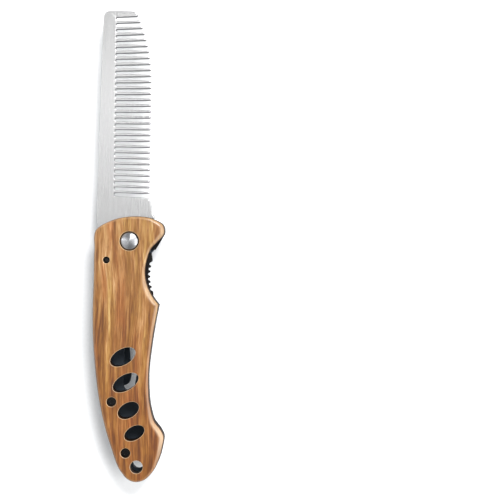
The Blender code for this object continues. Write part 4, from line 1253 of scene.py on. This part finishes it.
# %% [markdown]
# ## Floor
#
# The comb lies on plain white paper that is much larger than the picture, so that no edge shows. Paper is
# matt, and its fibres make its white slightly uneven. It is part of the stage and not of the object.

# %% Paper floor
FLOOR_SIZE = 6.0
FIBRES_PER_MM = 0.8
paper, tree, shader, mm = new_material("white_paper")
fibres = add_node(tree, "TexNoise", None,
                  {"Vector": mm, "Scale": FIBRES_PER_MM, "Detail": 4.0}).outputs["Fac"]
white = add_node(tree, "ValToRGB", None, {0: fibres}, [(0.3, "#EAEBEC"), (0.7, "#EEEFF0")]).outputs[0]
tree.links.new(white, shader.inputs["Base Color"])
shader.inputs["Roughness"].default_value = 0.9
shader.inputs["Specular IOR Level"].default_value = 0.2
bm = bmesh.new()
bmesh.ops.create_grid(bm, x_segments=1, y_segments=1, size=FLOOR_SIZE / 2)
floor_mesh = bpy.data.meshes.new("paper_floor")
bm.to_mesh(floor_mesh)
bm.free()
floor_mesh.materials.append(paper)
paper_floor = bpy.data.objects.new("paper_floor", floor_mesh)
bpy.context.scene.collection.objects.link(paper_floor)
print("floor:", FLOOR_SIZE, "m across")

# %% [markdown]
# ## Light
#
# The comb lies in a white tent, as in a studio for shiny goods. Steel and oiled wood show what they mirror,
# so the tent isn't lit evenly. It is dim at its two ends, which draw the dark wedges on the pivot's dome. A
# narrow bright strip in the roof, a little towards the far end, gives the comb plate its highlight half way
# along. A wide softbox in the right wall lights the sanded edge of the wood on that side.
#
# One soft panel stands high up towards the far end and a little to the right. It casts the short shadows
# towards the near end and a little to the left.

# %% Tent
TENT_BRIGHTNESS, SOFTBOX_SHARE = 4.2, 0.9
# From the left (0) over the roof (0.5) to the right (1)
TENT_ACROSS = [
    (0.02, 0.35), (0.10, 1.0), (0.25, 1.0), (0.38, 0.40), (0.50, 0.40), (0.62, 0.60), (0.72, 0.9),
    (0.92, 0.9), (0.99, 0.4),
]
BOX_ACROSS = [(0.64, 0.0), (0.76, 1.0), (0.96, 1.0), (1.0, 0.5)]
# From the near end (0) over the roof (0.5) to the far end (1)
TENT_ALONG = [
    (0.0, 0.21), (0.30, 0.16), (0.46, 0.34), (0.52, 0.33), (0.55, 0.50), (0.569, 1.0), (0.591, 1.0),
    (0.601, 0.24), (0.65, 0.17), (0.74, 0.18), (1.0, 0.21),
]
BOX_ALONG = [(0.20, 0.0), (0.32, 1.0), (0.60, 1.0), (0.72, 0.0)]
world = bpy.data.worlds.new("studio_tent")
bpy.context.scene.world = world
world.use_nodes = True
tree = world.node_tree
direction = add_node(tree, "SeparateXYZ", None, {0: add_node(tree, "TexCoord").outputs["Generated"]})
across, along = (
    add_node(tree, "MapRange", None, {"Value": direction.outputs[axis], "From Min": -1.0}).outputs[0]
    for axis in "XY")


def tent_light(across_stops, along_stops):
    """The product of a ramp across the tent and a ramp along it."""
    factors = [add_node(tree, "ValToRGB", None, {0: share}, stops).outputs[0]
               for share, stops in ((across, across_stops), (along, along_stops))]
    return add_node(tree, "Math", {"operation": "MULTIPLY"}, dict(enumerate(factors))).outputs[0]


tent = tent_light(TENT_ACROSS, TENT_ALONG)
box = add_node(tree, "Math", {"operation": "MULTIPLY"},
               {0: tent_light(BOX_ACROSS, BOX_ALONG), 1: SOFTBOX_SHARE}).outputs[0]
light = add_node(tree, "Math", {"operation": "MAXIMUM"}, {0: tent, 1: box}).outputs[0]
tree.links.new(light, tree.nodes["Background"].inputs["Color"])
tree.nodes["Background"].inputs["Strength"].default_value = TENT_BRIGHTNESS
print(f"tent: {TENT_BRIGHTNESS:.2f}, its softbox: {TENT_BRIGHTNESS * SOFTBOX_SHARE:.2f}")

# %% Panel
KEY_PLACE, KEY_SIZE, KEY_WATTS = (0.28, 0.58, 0.88), 0.36, 12.0
key = bpy.data.lights.new("key_panel", "AREA")
key.size = KEY_SIZE
key.energy = KEY_WATTS
key_panel = bpy.data.objects.new("key_panel", key)
key_panel.location = KEY_PLACE
key_panel.rotation_euler = Vector(KEY_PLACE).to_track_quat("Z", "Y").to_euler()
key_panel.visible_camera = False
bpy.context.scene.collection.objects.link(key_panel)
print("key panel:", KEY_SIZE, "m wide,", KEY_WATTS, "W")

# %% [markdown]
# ## Camera
#
# The picture is taken from straight above, from close by. The handle lies left of the middle, so its left
# side is hidden, while its right side and the left walls of its holes show. That fits a camera about 385 mm
# above the wood, over the middle of the picture, whose frame is 200 mm wide at the wood's face.

# %% Camera
CAMERA_OVER = (48.3, -3.6)
CAMERA_HEIGHT = 385.0
VIEW_WIDTH = 200.0
SENSOR = 36.0
camera_data = bpy.data.cameras.new("overhead_camera")
camera_data.sensor_width = SENSOR
camera_data.lens = SENSOR * CAMERA_HEIGHT / VIEW_WIDTH
camera_data.clip_start = 0.01
camera_data.clip_end = 20.0
camera = bpy.data.objects.new("overhead_camera", camera_data)
camera.location = in_frame(CAMERA_OVER, WOOD_FRONT + CAMERA_HEIGHT)
bpy.context.scene.collection.objects.link(camera)
bpy.context.scene.camera = camera
bpy.context.scene.view_settings.view_transform = "Standard"
print(f"camera: lens {camera_data.lens:.1f} mm")

# %% [markdown]
# ## Size
#
# The dressed comb has to stay inside the box of the CAD model.

# %% Sizes
print("scene built")
